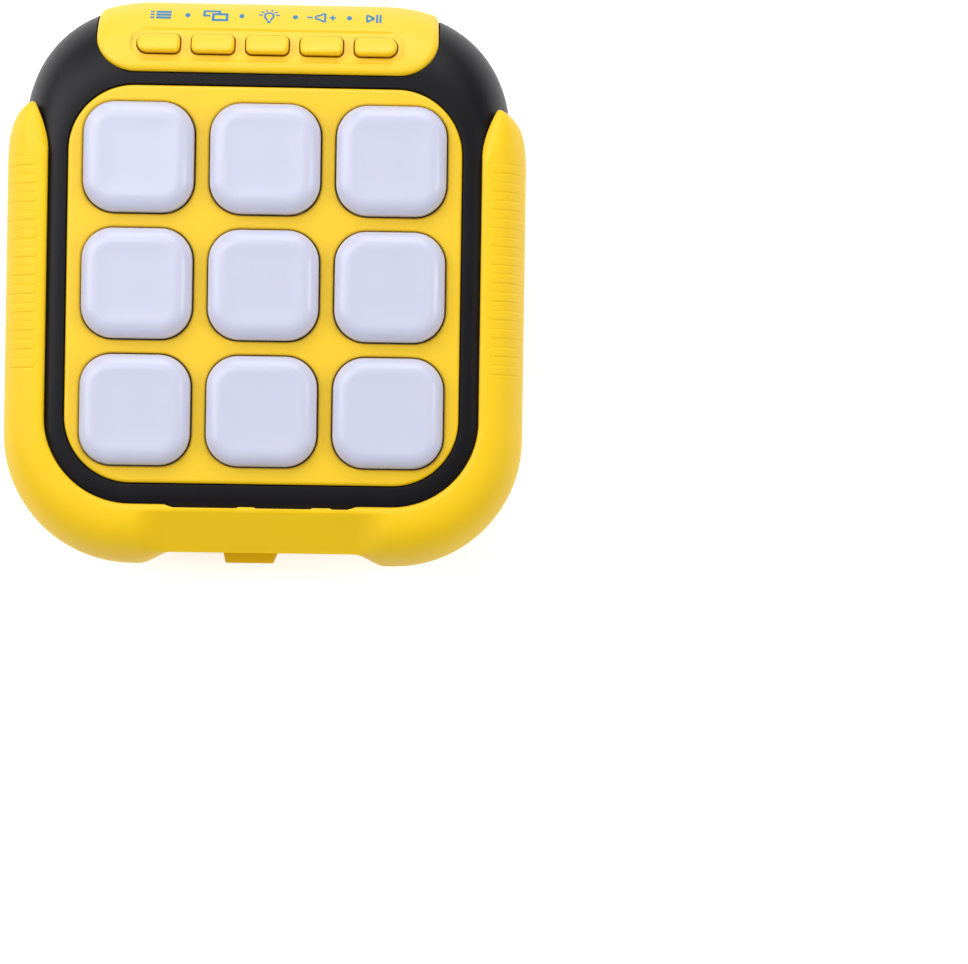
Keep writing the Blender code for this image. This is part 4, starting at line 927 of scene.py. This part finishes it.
def section(fullness, swells=None):
    """All rows round the section; swells are the rib's heights on the outer rows."""
    rows = [between(inner_row(LIP_TURN, True), lip_row(turn, True), fullness) for turn in (0, 22, 45, 67)]
    for number, (turn, front) in enumerate(OUTER_TURNS):
        swell = swells[number] if swells else 0.0
        rows.append(between(under(turn, front), outer_row(turn, front, swell), fullness))
    rows += [between(inner_row(LIP_TURN, False), lip_row(turn, False), fullness) for turn in (45, 0)]
    for front, steps in ((False, range(0, 8)), (True, range(8, 0, -1))):
        for step in steps:
            rows.append(inner_row(LIP_TURN + (QUARTER - LIP_TURN) * step / 8, front))
    return rows + [inner_row(LIP_TURN, True)]


OUTER_TURNS = [(turn, True) for turn in FRONT_TURNS] + [(turn, False) for turn in REAR_TURNS]


def arc_lengths():
    """Distance along the outer face from the crest to each row."""
    places = [(row[0], row[3]) for row in (outer_row(turn, front) for turn, front in OUTER_TURNS)]
    lengths = [0.0]
    for before, after in zip(places, places[1:]):
        lengths.append(lengths[-1] + math.dist(before, after))
    return lengths


ARC = arc_lengths()
print("rows in the section:", len(section(1.0)), "arc length:", round(ARC[-1], 4))

# %% [markdown]
# ## Ribs
# A rib is a raised pill that runs over the side. For any point of the outer face, the
# distance to the nearest pill's middle line says whether it is on the rib, and a smooth step
# gives the rib its soft shoulder. A fine groove runs round each pill and draws its edge.
# The ribs get lower towards the side, where the outline of the real grip stays smooth. No
# piece is added, so the ribs belong to the grip.

# %% How high the ribs stand
RIBS = 12
RIB_PITCH = 0.00423
RIB_TOP_Y = 0.0278
RIB_RADIUS = 0.00105
RIB_HEIGHT, RIB_GROOVE = 0.00007, 0.00013
RIB_SOFT = 0.00028
RIB_START = 0.0017
RIB_END = ARC[len(FRONT_TURNS) - 1] + 0.0085


def rib_heights(y):
    """Height of the ribs on each outer row, at one place down the side."""
    nearest = max(0, min(RIBS - 1, round((RIB_TOP_Y - y) / RIB_PITCH)))
    across = y - (RIB_TOP_Y - nearest * RIB_PITCH)
    heights = []
    for length in ARC:
        past = max(RIB_START - length, length - RIB_END, 0.0)
        away = math.hypot(past, across) - RIB_RADIUS
        share = min(1.0, max(0.0, 0.5 - away / RIB_SOFT))
        low = 1.0 - min(1.0, length / ARC[len(FRONT_TURNS) - 1]) ** 2
        groove = RIB_GROOVE * max(0.0, 1.0 - abs(away) / RIB_SOFT)
        heights.append(low * (RIB_HEIGHT * share * share * (3.0 - 2.0 * share) - groove))
    return heights


print("rib height in its middle:", max(rib_heights(RIB_TOP_Y)))

# %% Rings down the side and round the corner
END_LOW_Y = 0.0308
END_TIP_Y, END_TIP_HALF = 0.0420, 0.0535
END_SIDE_Y = 0.0402
FULL_Y = 0.0295
END_SHARES = (0.0, 0.004, 0.012, 0.025, 0.045, 0.07, 0.10, 0.14, 0.19, 0.26, 0.35, 0.46, 0.60, 0.78, 1.0)
TIP_SHARE = 0.12
END_FULL_POWER = 0.5
RIB_STATIONS = 300
CORNER_STATIONS = 22


def soft(share):
    """A smooth step from 0 to 1."""
    share = min(1.0, max(0.0, share))
    return share * share * (3.0 - 2.0 * share)


def end_y(half, height):
    """Where the upper end stops: it climbs from the ring to a tip and falls towards the side."""
    side = CASE_HALF_X + FIT
    if height < PARTING_Z:
        return END_LOW_Y + (END_SIDE_Y - END_LOW_Y) * soft((half - LIP_HALF_X) / (side - LIP_HALF_X))
    share = min(1.0, max(0.0, (half - LIP_HALF_X) / (END_TIP_HALF - LIP_HALF_X)))
    climb = END_LOW_Y + (END_TIP_Y - END_LOW_Y) * share**0.6
    past = min(1.0, max(0.0, (half - END_TIP_HALF) / (side - END_TIP_HALF)))
    return climb - (END_TIP_Y - END_SIDE_Y) * past**1.5


def side_rings():
    """Left side from the upper end to the lower corner."""
    rings = []
    ends = [end_y(h, z) for h, _, _, z in section(TIP_SHARE)]
    for share in END_SHARES:
        fullness = TIP_SHARE + (1.0 - TIP_SHARE) * (1.0 - (1.0 - share) ** 2) ** END_FULL_POWER
        rows = zip(section(fullness), ends)
        rings.append([(-h, end + (FULL_Y - end) * share, z) for (h, _, _, z), end in rows])
    last_y = RIB_TOP_Y - RIBS * RIB_PITCH
    for step in range(1, RIB_STATIONS + 1):
        y = FULL_Y + (last_y - FULL_Y) * step / RIB_STATIONS
        rings.append([(-h, y, z) for h, _, _, z in section(1.0, rib_heights(y))])
    plain = section(1.0)
    for step in range(CORNER_STATIONS + 1):
        across, up = math.cos(QUARTER * step / CORNER_STATIONS), math.sin(QUARTER * step / CORNER_STATIONS)
        rings.append([(-h + r * (1.0 - across), low + r * (1.0 - up), z) for h, low, r, z in plain])
    return rings


print("rings on one side:", len(side_rings()))

# %% [markdown]
# ## The flat at the bottom
# Between two feet the bottom of the grip is planed: a sloping flat on the front and an
# upright one below. Instead of cutting, each ring's corners are pulled inside two planes,
# by a share that fades out towards the feet, which gives the soft ends that a mould leaves.

# %% Rings along the bottom
FLAT_HALF, FLAT_SPREAD, FLARE = 0.0211, 0.0020, 0.0078
FLAT_Y = LIP_LOW_Y - GRIP_LOW + 0.00285
SLOPE_TOP_Y, SLOPE_TOP_Z = -0.0523, 0.0320
SLOPE = (SLOPE_TOP_Z - 0.0260) / (SLOPE_TOP_Y - FLAT_Y)
LIP_STEP, LIP_RAMP = 0.0007, 0.0022
TABS = ((-0.0055, -0.0011), (0.0118, 0.0162))
OUTER_ROWS = 4 + len(FRONT_TURNS) + len(REAR_TURNS) + 2


def planed(x, y, z):
    """A point of the outer face, pulled inside the planes of the flat."""
    inward = min(1.0, max(0.0, (y - FLAT_Y) / (LIP_LOW_Y - FLAT_Y)))
    share = soft((FLAT_HALF + FLAT_SPREAD * inward + FLARE - abs(x)) / FLARE)
    lip = min(1.0, max(0.0, (FLAT_HALF + LIP_RAMP / 2 - abs(x)) / LIP_RAMP))
    tab = any(left < x < right for left, right in TABS)
    step = LIP_STEP * lip * (0.6 if tab else 1.0)
    near_y = max(y, FLAT_Y)
    near_z = min(z, SLOPE_TOP_Z - (SLOPE_TOP_Y - near_y) * SLOPE)
    y, z = y + (near_y - y) * share, z + (near_z - z) * share
    return (x, min(y, LIP_LOW_Y - step) if z > PARTING_Z else y, z)


def bottom_rings(side):
    """From one corner to the middle of the bottom; the left side is -1."""
    plain = section(1.0)
    rings = []
    places = [1.0 - step / 10 * 0.09 for step in range(1, 10)] + [0.91 - 0.24 * step / 24 for step in range(25)]
    places += [0.67 - 0.67 * step / 40 for step in range(1, 41)]
    for place in places[:-1]:
        ring = [(side * (h - r) * place, low, z) for h, low, r, z in plain]
        rings.append([planed(*point) if row < OUTER_ROWS else point for row, point in enumerate(ring)])
    return rings


print("rings to the middle of the bottom:", len(bottom_rings(-1)))

# %% Build the grip with its lug
LUG_LOW, LUG_HIGH = 0.0045, 0.0105


def build_grip():
    """Both sides, the bottom and the lug behind it."""
    left = side_rings()
    right = [[(-x, y, z) for x, y, z in ring] for ring in reversed(left)]
    grip = skinned("grip", left + bottom_rings(-1) + bottom_rings(1)[::-1] + right)
    plan = [
        (-0.0095, FLAT_Y + 0.0009),
        (-0.0095, FLAT_Y),
        (-0.0089, FLAT_Y - 0.0026),
        (0.0022, FLAT_Y - 0.0026),
        (0.0033, FLAT_Y),
        (0.0033, FLAT_Y + 0.0009),
    ]
    lug = prisms("lug", [plan], LUG_LOW, LUG_HIGH)
    round_rims(lug, 0.0004, 3, lambda point: point.y < FLAT_Y - FIT)
    return combine(grip, lug, "UNION")


grip = dress(build_grip(), SOFT_YELLOW, "case", "bumper")
print("grip faces:", len(grip.data.polygons), "box:", [round(side, 4) for side in grip.dimensions])

# %% [markdown]
# ## The back
# The rear shell is skinned in the same way as the front one. Walls, bosses and the speaker's
# seat are added as upright prisms, then every opening is cut and its rim gets a small
# rounding. Nothing on the back can be seen in the photograph, so its layout is a guess.

# %% Outlines on the back
SPEAKER_Y, SPEAKER_RADIUS = 0.0300, 0.0140
BAY_Y, BAY_HALF_X, BAY_HALF_Y, BAY_ROOF_Z = -0.02725, 0.02515, 0.01655, 0.0133
BAY_WALL = 0.0012
DOOR_HALF_X, DOOR_LOW_Y, DOOR_HIGH_Y = 0.02715, -0.0458, -0.0024
DOOR_SUNK, DOOR_BACK_Z = 0.0005, 0.0021
DOOR_SCREW = (0.0, -0.0060)
DOOR_BOSS_RADIUS, DOOR_BOSS_TOP_Z = 0.0032, 0.0045
WELL_RADIUS, WELL_DEPTH, BOSS_TOP_Z = 0.0024, 0.0090, 0.0120
REAR_EDGE = 0.0003


def door_outline(offset):
    """The door's outline, or the recess's round it."""
    half, corner = DOOR_HALF_X + offset, 0.0030 + offset
    return outline(-half, half, DOOR_LOW_Y - offset, DOOR_HIGH_Y + offset, (corner,) * 4, 8)


def bay_outline(offset):
    """The battery bay's outline, or its wall's."""
    half_x, half_y = BAY_HALF_X + offset, BAY_HALF_Y + offset
    return outline(-half_x, half_x, BAY_Y - half_y, BAY_Y + half_y, (0.0004 + offset,) * 4, 4)


def sound_holes():
    """Three rings of small holes over the speaker."""
    holes = []
    for number, count in enumerate((1, 6, 12)):
        for x, y in circle(number * 0.0042, count):
            holes.append(circle(0.0009, 20, (x, y + SPEAKER_Y)))
    return holes


print("sound holes:", len(sound_holes()))

# %% Build the rear shell


def build_rear_shell():
    """Skin, inner walls, openings and rounded rims."""
    rim = PARTING_Z - FIT / 2
    rings = case_rings(-REAR_WALL, False, 8)[::-1]
    rings += [at_height(case_ring(QUARTER, -REAR_WALL), rim), at_height(case_ring(QUARTER, 0.0), rim)]
    shell = skinned("rear_shell", rings + case_rings(0.0, False, 18))
    speaker = (0.0, SPEAKER_Y)
    added = (
        ([door_outline(BAY_WALL)], 0.0042),
        ([bay_outline(BAY_WALL)], BAY_ROOF_Z + BAY_WALL),
        ([circle(WELL_RADIUS + 0.0014, 32, centre) for centre in BOSSES], BOSS_TOP_Z),
        ([circle(DOOR_BOSS_RADIUS + FIT + BAY_WALL, 32, DOOR_SCREW)], 0.0060),
        ([circle(SPEAKER_RADIUS + 0.0015, 64, speaker)], 0.0040),
    )
    for outlines, top in added:
        combine(shell, prisms("added", outlines, REAR_WALL - FIT, top), "UNION")
    openings = (
        ([door_outline(FIT)], -OVERRUN, DOOR_BACK_Z + FIT),
        ([bay_outline(0.0)], 0.0, BAY_ROOF_Z),
        ([circle(DOOR_BOSS_RADIUS + FIT, 32, DOOR_SCREW)], 0.0, 0.0048),
        ([circle(SPEAKER_RADIUS + FIT, 64, speaker)], REAR_WALL, PARTING_Z),
        (sound_holes(), -OVERRUN, REAR_WALL + OVERRUN),
        ([circle(WELL_RADIUS, 32, centre) for centre in BOSSES], -OVERRUN, WELL_DEPTH),
        ([circle(0.0013, 24, centre) for centre in BOSSES], 0.0, BOSS_TOP_Z + OVERRUN),
    )
    for outlines, low, high in openings:
        combine(shell, prisms("opening", outlines, low, high))
    return shell


rear_shell = build_rear_shell()
rims = round_rims(rear_shell, REAR_EDGE, 3, lambda point: point.z < REAR_EDGE / 3)
level(dress(rear_shell, BACK, "case", "rear_shell"))
print("rear shell faces:", len(rear_shell.data.polygons), "rounded rim edges:", rims)

# %% [markdown]
# ## The battery door
# The door lies in a recess, half a millimetre under the back. It has a boss for its screw
# and a row of ridges for the thumb, which stay below the flat of the back.

# %% Build the battery door
RIDGES = 7


def build_door():
    """Plate with a rounded edge, ridges, a boss and a sunk screw hole."""
    rings = [lift(door_outline(-0.0003 * (1.0 - step / 3)), DOOR_SUNK + 0.0001 * step) for step in range(4)]
    door = skinned("battery_door", rings + [lift(door_outline(0.0), DOOR_BACK_Z)])
    combine(door, prisms("boss", [circle(DOOR_BOSS_RADIUS, 32, DOOR_SCREW)], DOOR_BACK_Z - FIT, DOOR_BOSS_TOP_Z), "UNION")
    combine(door, prisms("sink", [circle(WELL_RADIUS, 32, DOOR_SCREW)], -OVERRUN, DOOR_BOSS_TOP_Z - 0.0014))
    ridges = []
    for number in range(RIDGES):
        y, half = DOOR_LOW_Y + 0.0045 + number * 0.0016, 0.0095 - number * 0.0008
        ridges.append(outline(-half, half, y - 0.0004, y + 0.0004, (0.0004,) * 4, 6))
    combine(door, prisms("ridges", ridges, 0.0002, DOOR_SUNK + FIT), "UNION")
    round_rims(door, 0.0002, 2, lambda point: point.z < DOOR_SUNK - FIT / 2)
    return door


door = level(dress(build_door(), BACK, "door_body", "battery_door"))
print("door faces:", len(door.data.polygons))

# %% [markdown]
# ## Screws, speaker and cells
# Turned pieces are rows of circles with their own radius and height. The screws get a cross
# in their heads and ridges for their thread, and the speaker gets its cone, which shows
# faintly through the holes.

# %% Turned pieces


def turned(name, profile, sides, place):
    """A round piece from pairs of radius and height above a place."""
    x, y, z = place
    return skinned(name, [lift(circle(radius, sides, (x, y)), z + height) for radius, height in profile])


def build_screw(name, place, length):
    """Pan head with a cross, and its shank."""
    profile = [(0.0021 * math.sin(QUARTER * (step + 2) / 8), -0.0016 * math.cos(QUARTER * step / 6)) for step in range(7)]
    profile += [(0.0010, 0.0), (0.0010, 0.0008)]
    turns = round((length - 0.0018) / 0.0009)
    for turn in range(turns):
        profile += [(0.0008, 0.0009 * turn + 0.0012), (0.0010, 0.0009 * turn + 0.0016)]
    screw = turned(name, profile + [(0.0005, length)], 32, place)
    for half_x, half_y in ((0.0012, 0.00022), (0.00022, 0.0012)):
        arm = outline(place[0] - half_x, place[0] + half_x, place[1] - half_y, place[1] + half_y, (0.0001,) * 4, 2)
        combine(screw, prisms("cross", [arm], place[2] - 0.0025, place[2] - 0.0008))
    return screw


for number, (x, y) in enumerate(BOSSES, start=1):
    screw = build_screw(f"screw_{number}", (x, y, WELL_DEPTH - FIT), 0.0122)
    dress(screw, STEEL, "case", f"case_screw_{number}")
screw = build_screw("screw_of_door", (*DOOR_SCREW, DOOR_BOSS_TOP_Z - 0.0014 - FIT), 0.0070)
dress(screw, STEEL, "door_body", "door_screw")
cone = [(0.0010, 0.0006), (0.0030, 0.0007), (0.0040, 0.0011), (0.0042, 0.0013), (0.0102, 0.0006), (0.0106, 0.0003)]
rim = [(0.0113, 0.0001), (0.0121, 0.0003), (0.0124, 0.0005), (0.0126, 0.0001), (0.0139, 0.0), (0.0140, 0.0001)]
basket = [(0.0140, 0.0010), (0.0125, 0.0010), (0.0090, 0.0036), (0.0070, 0.0036), (0.0070, 0.0051), (0.0069, 0.0052)]
speaker = turned("speaker", cone + rim + basket, 64, (0.0, SPEAKER_Y, REAR_WALL + FIT))
dress(speaker, BLACK, "case", "speaker")
print("screws: 5, speaker faces:", len(speaker.data.polygons))

# %% [markdown]
# ## Cells and contacts
# Each cell has a printed sleeve with a pale band at its plus end, and bare metal at both
# ends. The band follows the place along the cell, so it is part of the finish. The springs
# are real coils: a small circle carried round a helix whose radius shrinks.

# %% The sleeve's finish
CELL_LENGTH, CELL_RADIUS, CELL_PITCH, CELL_Z = 0.0445, 0.00525, 0.0109, 0.00765
SPRING_LENGTH = 0.0030


def sleeve_finish(name, side):
    """A dark printed sleeve with a band, between two metal ends."""
    material = plastic(name, (0.060, 0.130, 0.150), (0.045, 0.105, 0.125), (0.22, 0.32), 2500.0, 90.0, 0.03)
    nodes, links = material.node_tree.nodes, material.node_tree.links
    place = nodes.new("ShaderNodeTexCoord")
    split = nodes.new("ShaderNodeSeparateXYZ")
    along = nodes.new("ShaderNodeMapRange")
    along.inputs["From Min"].default_value = side * (SPRING_LENGTH - CELL_LENGTH) / 2
    along.inputs["From Max"].default_value = side * (SPRING_LENGTH + CELL_LENGTH) / 2
    bands = nodes.new("ShaderNodeValToRGB")
    bands.color_ramp.interpolation = "CONSTANT"
    bands.color_ramp.elements[0].color = (1.0, 1.0, 1.0, 1.0)
    for place_share, value in ((0.012, 0.0), (0.70, 0.5), (0.965, 1.0)):
        bands.color_ramp.elements.new(place_share).color = (value, value, value, 1.0)
    bands.color_ramp.elements[-1].color = (1.0, 1.0, 1.0, 1.0)
    blend = nodes.new("ShaderNodeMix")
    blend.data_type = "RGBA"
    blend.inputs["B"].default_value = (0.66, 0.64, 0.60, 1.0)
    metal = nodes.new("ShaderNodeMath")
    metal.operation = "GREATER_THAN"
    metal.inputs[1].default_value = 0.25
    shader = nodes["Principled BSDF"]
    old = shader.inputs["Base Color"].links[0].from_socket
    links.new(place.outputs["Object"], split.inputs["Vector"])
    links.new(split.outputs["X"], along.inputs["Value"])
    links.new(along.outputs["Result"], bands.inputs["Fac"])
    links.new(bands.outputs["Color"], blend.inputs["Factor"])
    links.new(bands.outputs["Color"], metal.inputs[0])
    links.new(old, blend.inputs["A"])
    links.new(blend.outputs["Result"], shader.inputs["Base Color"])
    links.new(metal.outputs["Value"], shader.inputs["Metallic"])
    return material


SLEEVES = {side: sleeve_finish(f"sleeve_{name}", side) for side, name in ((1, "right"), (-1, "left"))}
print("sleeve finishes:", sorted(material.name for material in SLEEVES.values()))

# %% Build the cells


def cell_place(index):
    """Middle of a cell across the bay, and the side of its plus end."""
    return BAY_Y + (index - 1) * CELL_PITCH, 1 if index % 2 == 0 else -1


def along_x(profile, side, y, sides=48):
    """Rings round a line along X, from pairs of radius and place."""
    return [[(side * x, y + a, CELL_Z + b) for a, b in circle(radius, sides)] for radius, x in profile]


def build_cell(index):
    """Round body with rolled ends, an insulating step and a nub."""
    y, side = cell_place(index)
    start, stop = (SPRING_LENGTH - CELL_LENGTH) / 2, (SPRING_LENGTH + CELL_LENGTH) / 2
    shoulder = stop - 0.0010
    profile = [(CELL_RADIUS - 0.0016, start + 0.0001), (CELL_RADIUS - 0.0008, start)]
    for step in range(5):
        angle = QUARTER * step / 4
        inset = 0.0005 * (1.0 - math.sin(angle))
        profile.append((CELL_RADIUS - inset, start + 0.0005 * (1.0 - math.cos(angle))))
    for step in range(5):
        angle = QUARTER * step / 4
        inset = 0.0005 * (1.0 - math.cos(angle))
        profile.append((CELL_RADIUS - inset, shoulder - 0.0005 * (1.0 - math.sin(angle))))
    profile += [(CELL_RADIUS - 0.0009, shoulder), (CELL_RADIUS - 0.0010, shoulder - 0.0003)]
    profile += [(0.0022, shoulder - 0.0003), (0.0019, shoulder), (0.0019, stop - 0.0001), (0.0018, stop)]
    return skinned(f"cell_{index + 1}", along_x(profile, side, y))


for index in range(3):
    dress(build_cell(index), SLEEVES[cell_place(index)[1]], "case", f"battery_{index + 1}")
print("cells: 3")

# %% Build the contacts


def add_coil(work, side, y, foot_x, tip_x):
    """Four turns of wire whose radius shrinks towards the cell."""
    rings = []
    for step in range(97):
        share, turn = step / 96, 2 * math.pi * step / 24
        x, radius = foot_x + (tip_x - foot_x) * share, 0.0032 - 0.0011 * share
        ring = []
        for a, b in circle(0.00022, 8):
            ring.append((side * (x + a), y + (radius + b) * math.cos(turn), CELL_Z + (radius + b) * math.sin(turn)))
        rings.append(ring)
    add_skin(work, rings)


def build_contact(number, side, cells):
    """Sprung or dimpled plate at one end of the bay."""
    outer = BAY_HALF_X - FIT
    inner = outer - 0.0004
    low, high = cell_place(cells[0])[0] - 0.0043, cell_place(cells[-1])[0] + 0.0043
    profile = outline(low, high, 0.0029, 0.0125, (0.0012,) * 4, 6)
    work = bmesh.new()
    add_skin(work, [[(side * x, a, b) for a, b in profile] for x in (inner, outer)])
    for index in cells:
        y, plus = cell_place(index)
        if plus == side:
            dimple = [(0.0015, inner + FIT / 2), (0.0013, inner - 0.0003), (0.0008, inner - 0.0004)]
            add_skin(work, along_x(dimple, side, y, 24))
        else:
            add_coil(work, side, y, inner - 0.0001, inner - SPRING_LENGTH - 0.0002)
    return mesh_piece(f"contact_{number}", work)


for number, side, cells in ((1, -1, (0,)), (2, -1, (1, 2)), (3, 1, (0, 1)), (4, 1, (2,))):
    dress(build_contact(number, side, cells), NICKEL, "case", f"battery_contact_{number}")
print("contacts: 4, with three coils")

# %% [markdown]
# ## Board, lights and domes
# The board carries one light under each key, a chip and a few small parts. A silicone ring
# under each key and a small dome under each button push them back.

# %% The board's finish


def board_finish():
    """Green lacquer over copper tracks, which show as lighter lines."""
    material = plastic("board_lacquer", (0.020, 0.150, 0.060), (0.014, 0.110, 0.042), (0.22, 0.32), 1500.0, 60.0, 0.03)
    nodes, links = material.node_tree.nodes, material.node_tree.links
    place = nodes.new("ShaderNodeTexCoord")
    tracks = nodes.new("ShaderNodeTexBrick")
    tracks.inputs["Scale"].default_value = 160.0
    tracks.inputs["Mortar Size"].default_value = 0.05
    tracks.inputs["Color1"].default_value = (0.0, 0.0, 0.0, 1.0)
    tracks.inputs["Color2"].default_value = (0.0, 0.0, 0.0, 1.0)
    tracks.inputs["Mortar"].default_value = (1.0, 1.0, 1.0, 1.0)
    blend = nodes.new("ShaderNodeMix")
    blend.data_type = "RGBA"
    blend.inputs["B"].default_value = (0.055, 0.270, 0.095, 1.0)
    shader = nodes["Principled BSDF"]
    old = shader.inputs["Base Color"].links[0].from_socket
    links.new(place.outputs["Object"], tracks.inputs["Vector"])
    links.new(tracks.outputs["Color"], blend.inputs["Factor"])
    links.new(old, blend.inputs["A"])
    links.new(blend.outputs["Result"], shader.inputs["Base Color"])
    return material


BOARD = board_finish()
LED_BODY = plastic("led_body", (0.800, 0.790, 0.740), (0.740, 0.730, 0.680), (0.35, 0.45))
LED_LENS = plastic("led_lens", (0.900, 0.780, 0.300), (0.860, 0.720, 0.240), (0.08, 0.14), bump=0.01)
print("board finish:", BOARD.name)

# %% Build the board and what it carries
BOARD_BOTTOM_Z = BOARD_TOP_Z - 0.0016


def build_board():
    """Plate with small parts soldered to its lower side."""
    points = outline(-0.0430, 0.0430, -0.0430, 0.0592, (0.0080, 0.0180, 0.0180, 0.0080), 10)
    board = prisms("board", [points], BOARD_BOTTOM_Z, BOARD_TOP_Z)
    round_rims(board, 0.0002, 2, lambda point: True)
    return board


def build_parts():
    """A chip with legs and two rows of resistors."""
    work = bmesh.new()
    blocks = [(0.0, 0.0060, 0.0040, 0.0025, 0.0014)]
    blocks += [(x * 0.0018, 0.0060 + y * 0.0031, 0.0003, 0.0008, 0.0006) for x in (-2, -1, 0, 1, 2) for y in (-1, 1)]
    blocks += [(x * 0.0040, y, 0.0008, 0.0005, 0.0006) for x in range(-4, 5) for y in (0.0150, -0.0050)]
    for x, y, half_x, half_y, height in blocks:
        points = outline(x - half_x, x + half_x, y - half_y, y + half_y, (0.0002,) * 4, 2)
        add_skin(work, [lift(points, BOARD_BOTTOM_Z - height), lift(points, BOARD_BOTTOM_Z)])
    return mesh_piece("soldered_parts", work)


dress(build_board(), BOARD, "case", "main_board")
dress(build_parts(), BLACK, "case", slot="main_board")
for number, centre in enumerate(KEY_CENTRES, start=1):
    base = BOARD_TOP_Z + FIT
    points = [(x + centre[0], y + centre[1]) for x, y in outline(-0.0025, 0.0025, -0.0025, 0.0025, (0.0006,) * 4, 4)]
    cup = prisms("cup", [circle(0.0020, 32, centre)], base + 0.0005, CEILING_Z)
    dress(combine(prisms(f"light_{number}", [points], base, base + 0.0013), cup), LED_BODY, "case", f"led_{number}")
    dome = [(0.0020 * math.cos(QUARTER * step / 6), 0.0005 + 0.0010 * math.sin(QUARTER * step / 6)) for step in range(6)]
    lens = turned(f"lens_{number}", [(radius - FIT / 3, z) for radius, z in dome], 32, (*centre, base))
    dress(lens, LED_LENS, "case", slot=f"led_{number}")
print("lights:", len(KEY_CENTRES))

# %% Build the domes
FOOT_Z = BOARD_TOP_Z + FIT
KEY_DOME_TIP_Z = CEILING_Z - FIT - KEY_FLANGE - FIT


def squashed(piece, node):
    """Dress a dome and give it a mesh of its own."""
    dress(piece, SILICONE, "case", node)
    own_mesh(piece)


for number, place in enumerate(KEY_CENTRES, start=1):
    profile = ((0.0120, KEY_DOME_TIP_Z), (0.0106, KEY_DOME_TIP_Z), (0.0111, FOOT_Z), (0.0125, FOOT_Z))
    rings = [lift(circle(radius, 48, place), z) for radius, z in profile]
    squashed(skinned(f"silicone_ring_{number}", rings, closed=True), f"key_dome_{number}")
for number, x in enumerate(BUTTON_XS, start=1):
    height = BUTTON_REST_Z - FIT - FOOT_Z
    profile = [(0.0022, 0.0), (0.0021, height * 0.3), (0.0018, height * 0.85), (0.0016, height)]
    dome = turned(f"silicone_dome_{number}", profile, 32, (x, BUTTON_Y, FOOT_Z))
    squashed(dome, f"strip_dome_{number}")
print("domes:", len(KEY_CENTRES) + len(BUTTON_XS))

# %% [markdown]
# ## Floor and light
# The game lies on a plain pale floor. Two wide soft lamps stand behind it and to its left and
# a small one high above, which puts the sheen on the cover and the left side. Two weaker ones
# fill the shade and are left out of reflections, and a pale sky fills it too. To the camera the
# floor gets a little light of its own, so it is white and still keeps the shadow.

# %% Floor


def floor_material():
    """White paper that shows nearly white and keeps the shadow."""
    material = bpy.data.materials.new("studio_floor")
    material.use_nodes = True
    nodes, links = material.node_tree.nodes, material.node_tree.links
    shader = nodes["Principled BSDF"]
    shader.inputs["Base Color"].default_value = (0.82, 0.82, 0.82, 1.0)
    shader.inputs["Roughness"].default_value = 0.9
    glow = nodes.new("ShaderNodeEmission")
    glow.inputs["Color"].default_value = (0.58, 0.58, 0.58, 1.0)
    rays = nodes.new("ShaderNodeLightPath")
    seen = nodes.new("ShaderNodeMath")
    seen.operation = "MAXIMUM"
    both = nodes.new("ShaderNodeMath")
    both.operation = "MAXIMUM"
    add = nodes.new("ShaderNodeAddShader")
    links.new(rays.outputs["Is Camera Ray"], seen.inputs[0])
    links.new(rays.outputs["Is Glossy Ray"], seen.inputs[1])
    links.new(seen.outputs["Value"], both.inputs[0])
    links.new(rays.outputs["Is Transmission Ray"], both.inputs[1])
    links.new(both.outputs["Value"], glow.inputs["Strength"])
    links.new(shader.outputs["BSDF"], add.inputs[0])
    links.new(glow.outputs["Emission"], add.inputs[1])
    links.new(add.outputs["Shader"], nodes["Material Output"].inputs["Surface"])
    return material


def build_floor():
    """A wide sheet just under the flat back."""
    work = bmesh.new()
    bmesh.ops.create_grid(work, x_segments=1, y_segments=1, size=3.0)
    bmesh.ops.translate(work, verts=work.verts[:], vec=(0.0, 0.0, -FIT / 3))
    floor = mesh_piece("floor", work)
    floor.data.materials.append(floor_material())
    return floor


floor = build_floor()
print("floor:", [round(side, 1) for side in floor.dimensions[:2]], "m")

# %% Lamps and sky


def soft_lamp(name, place, size, watts):
    """A soft box that points at the game."""
    data = bpy.data.lights.new(name, "AREA")
    data.shape = "RECTANGLE"
    data.size, data.size_y = size
    data.energy = watts
    lamp = bpy.data.objects.new(name, data)
    lamp.location = place
    aim = -lamp.location
    lamp.rotation_euler = aim.to_track_quat("-Z", "Y").to_euler()
    bpy.context.scene.collection.objects.link(lamp)
    return lamp


def set_sky(colour, strength):
    """Even light from all round."""
    world = bpy.data.worlds.new("studio")
    bpy.context.scene.world = world
    world.use_nodes = True
    sky = world.node_tree.nodes["Background"]
    sky.inputs["Color"].default_value = (*colour, 1.0)
    sky.inputs["Strength"].default_value = strength


set_sky((1.0, 1.0, 1.0), 0.08)
lamps = [
    soft_lamp("back_lamp", (0.05, 0.65, 0.45), (0.60, 0.60), 3.2),
    soft_lamp("left_lamp", (-0.55, 0.22, 0.50), (0.60, 0.60), 3.4),
    soft_lamp("high_lamp", (-0.18, 0.22, 0.72), (0.30, 0.30), 0.7),
    soft_lamp("right_strip", (0.56, 0.06, 0.56), (0.06, 0.35), 0.5),
    soft_lamp("right_fill", (0.68, -0.12, 0.46), (0.50, 0.50), 2.6),
    soft_lamp("front_fill", (-0.28, -0.60, 0.42), (0.60, 0.60), 1.6),
]
for lamp in lamps[4:]:
    lamp.visible_glossy = False
print("lamps:", [lamp.name for lamp in lamps])
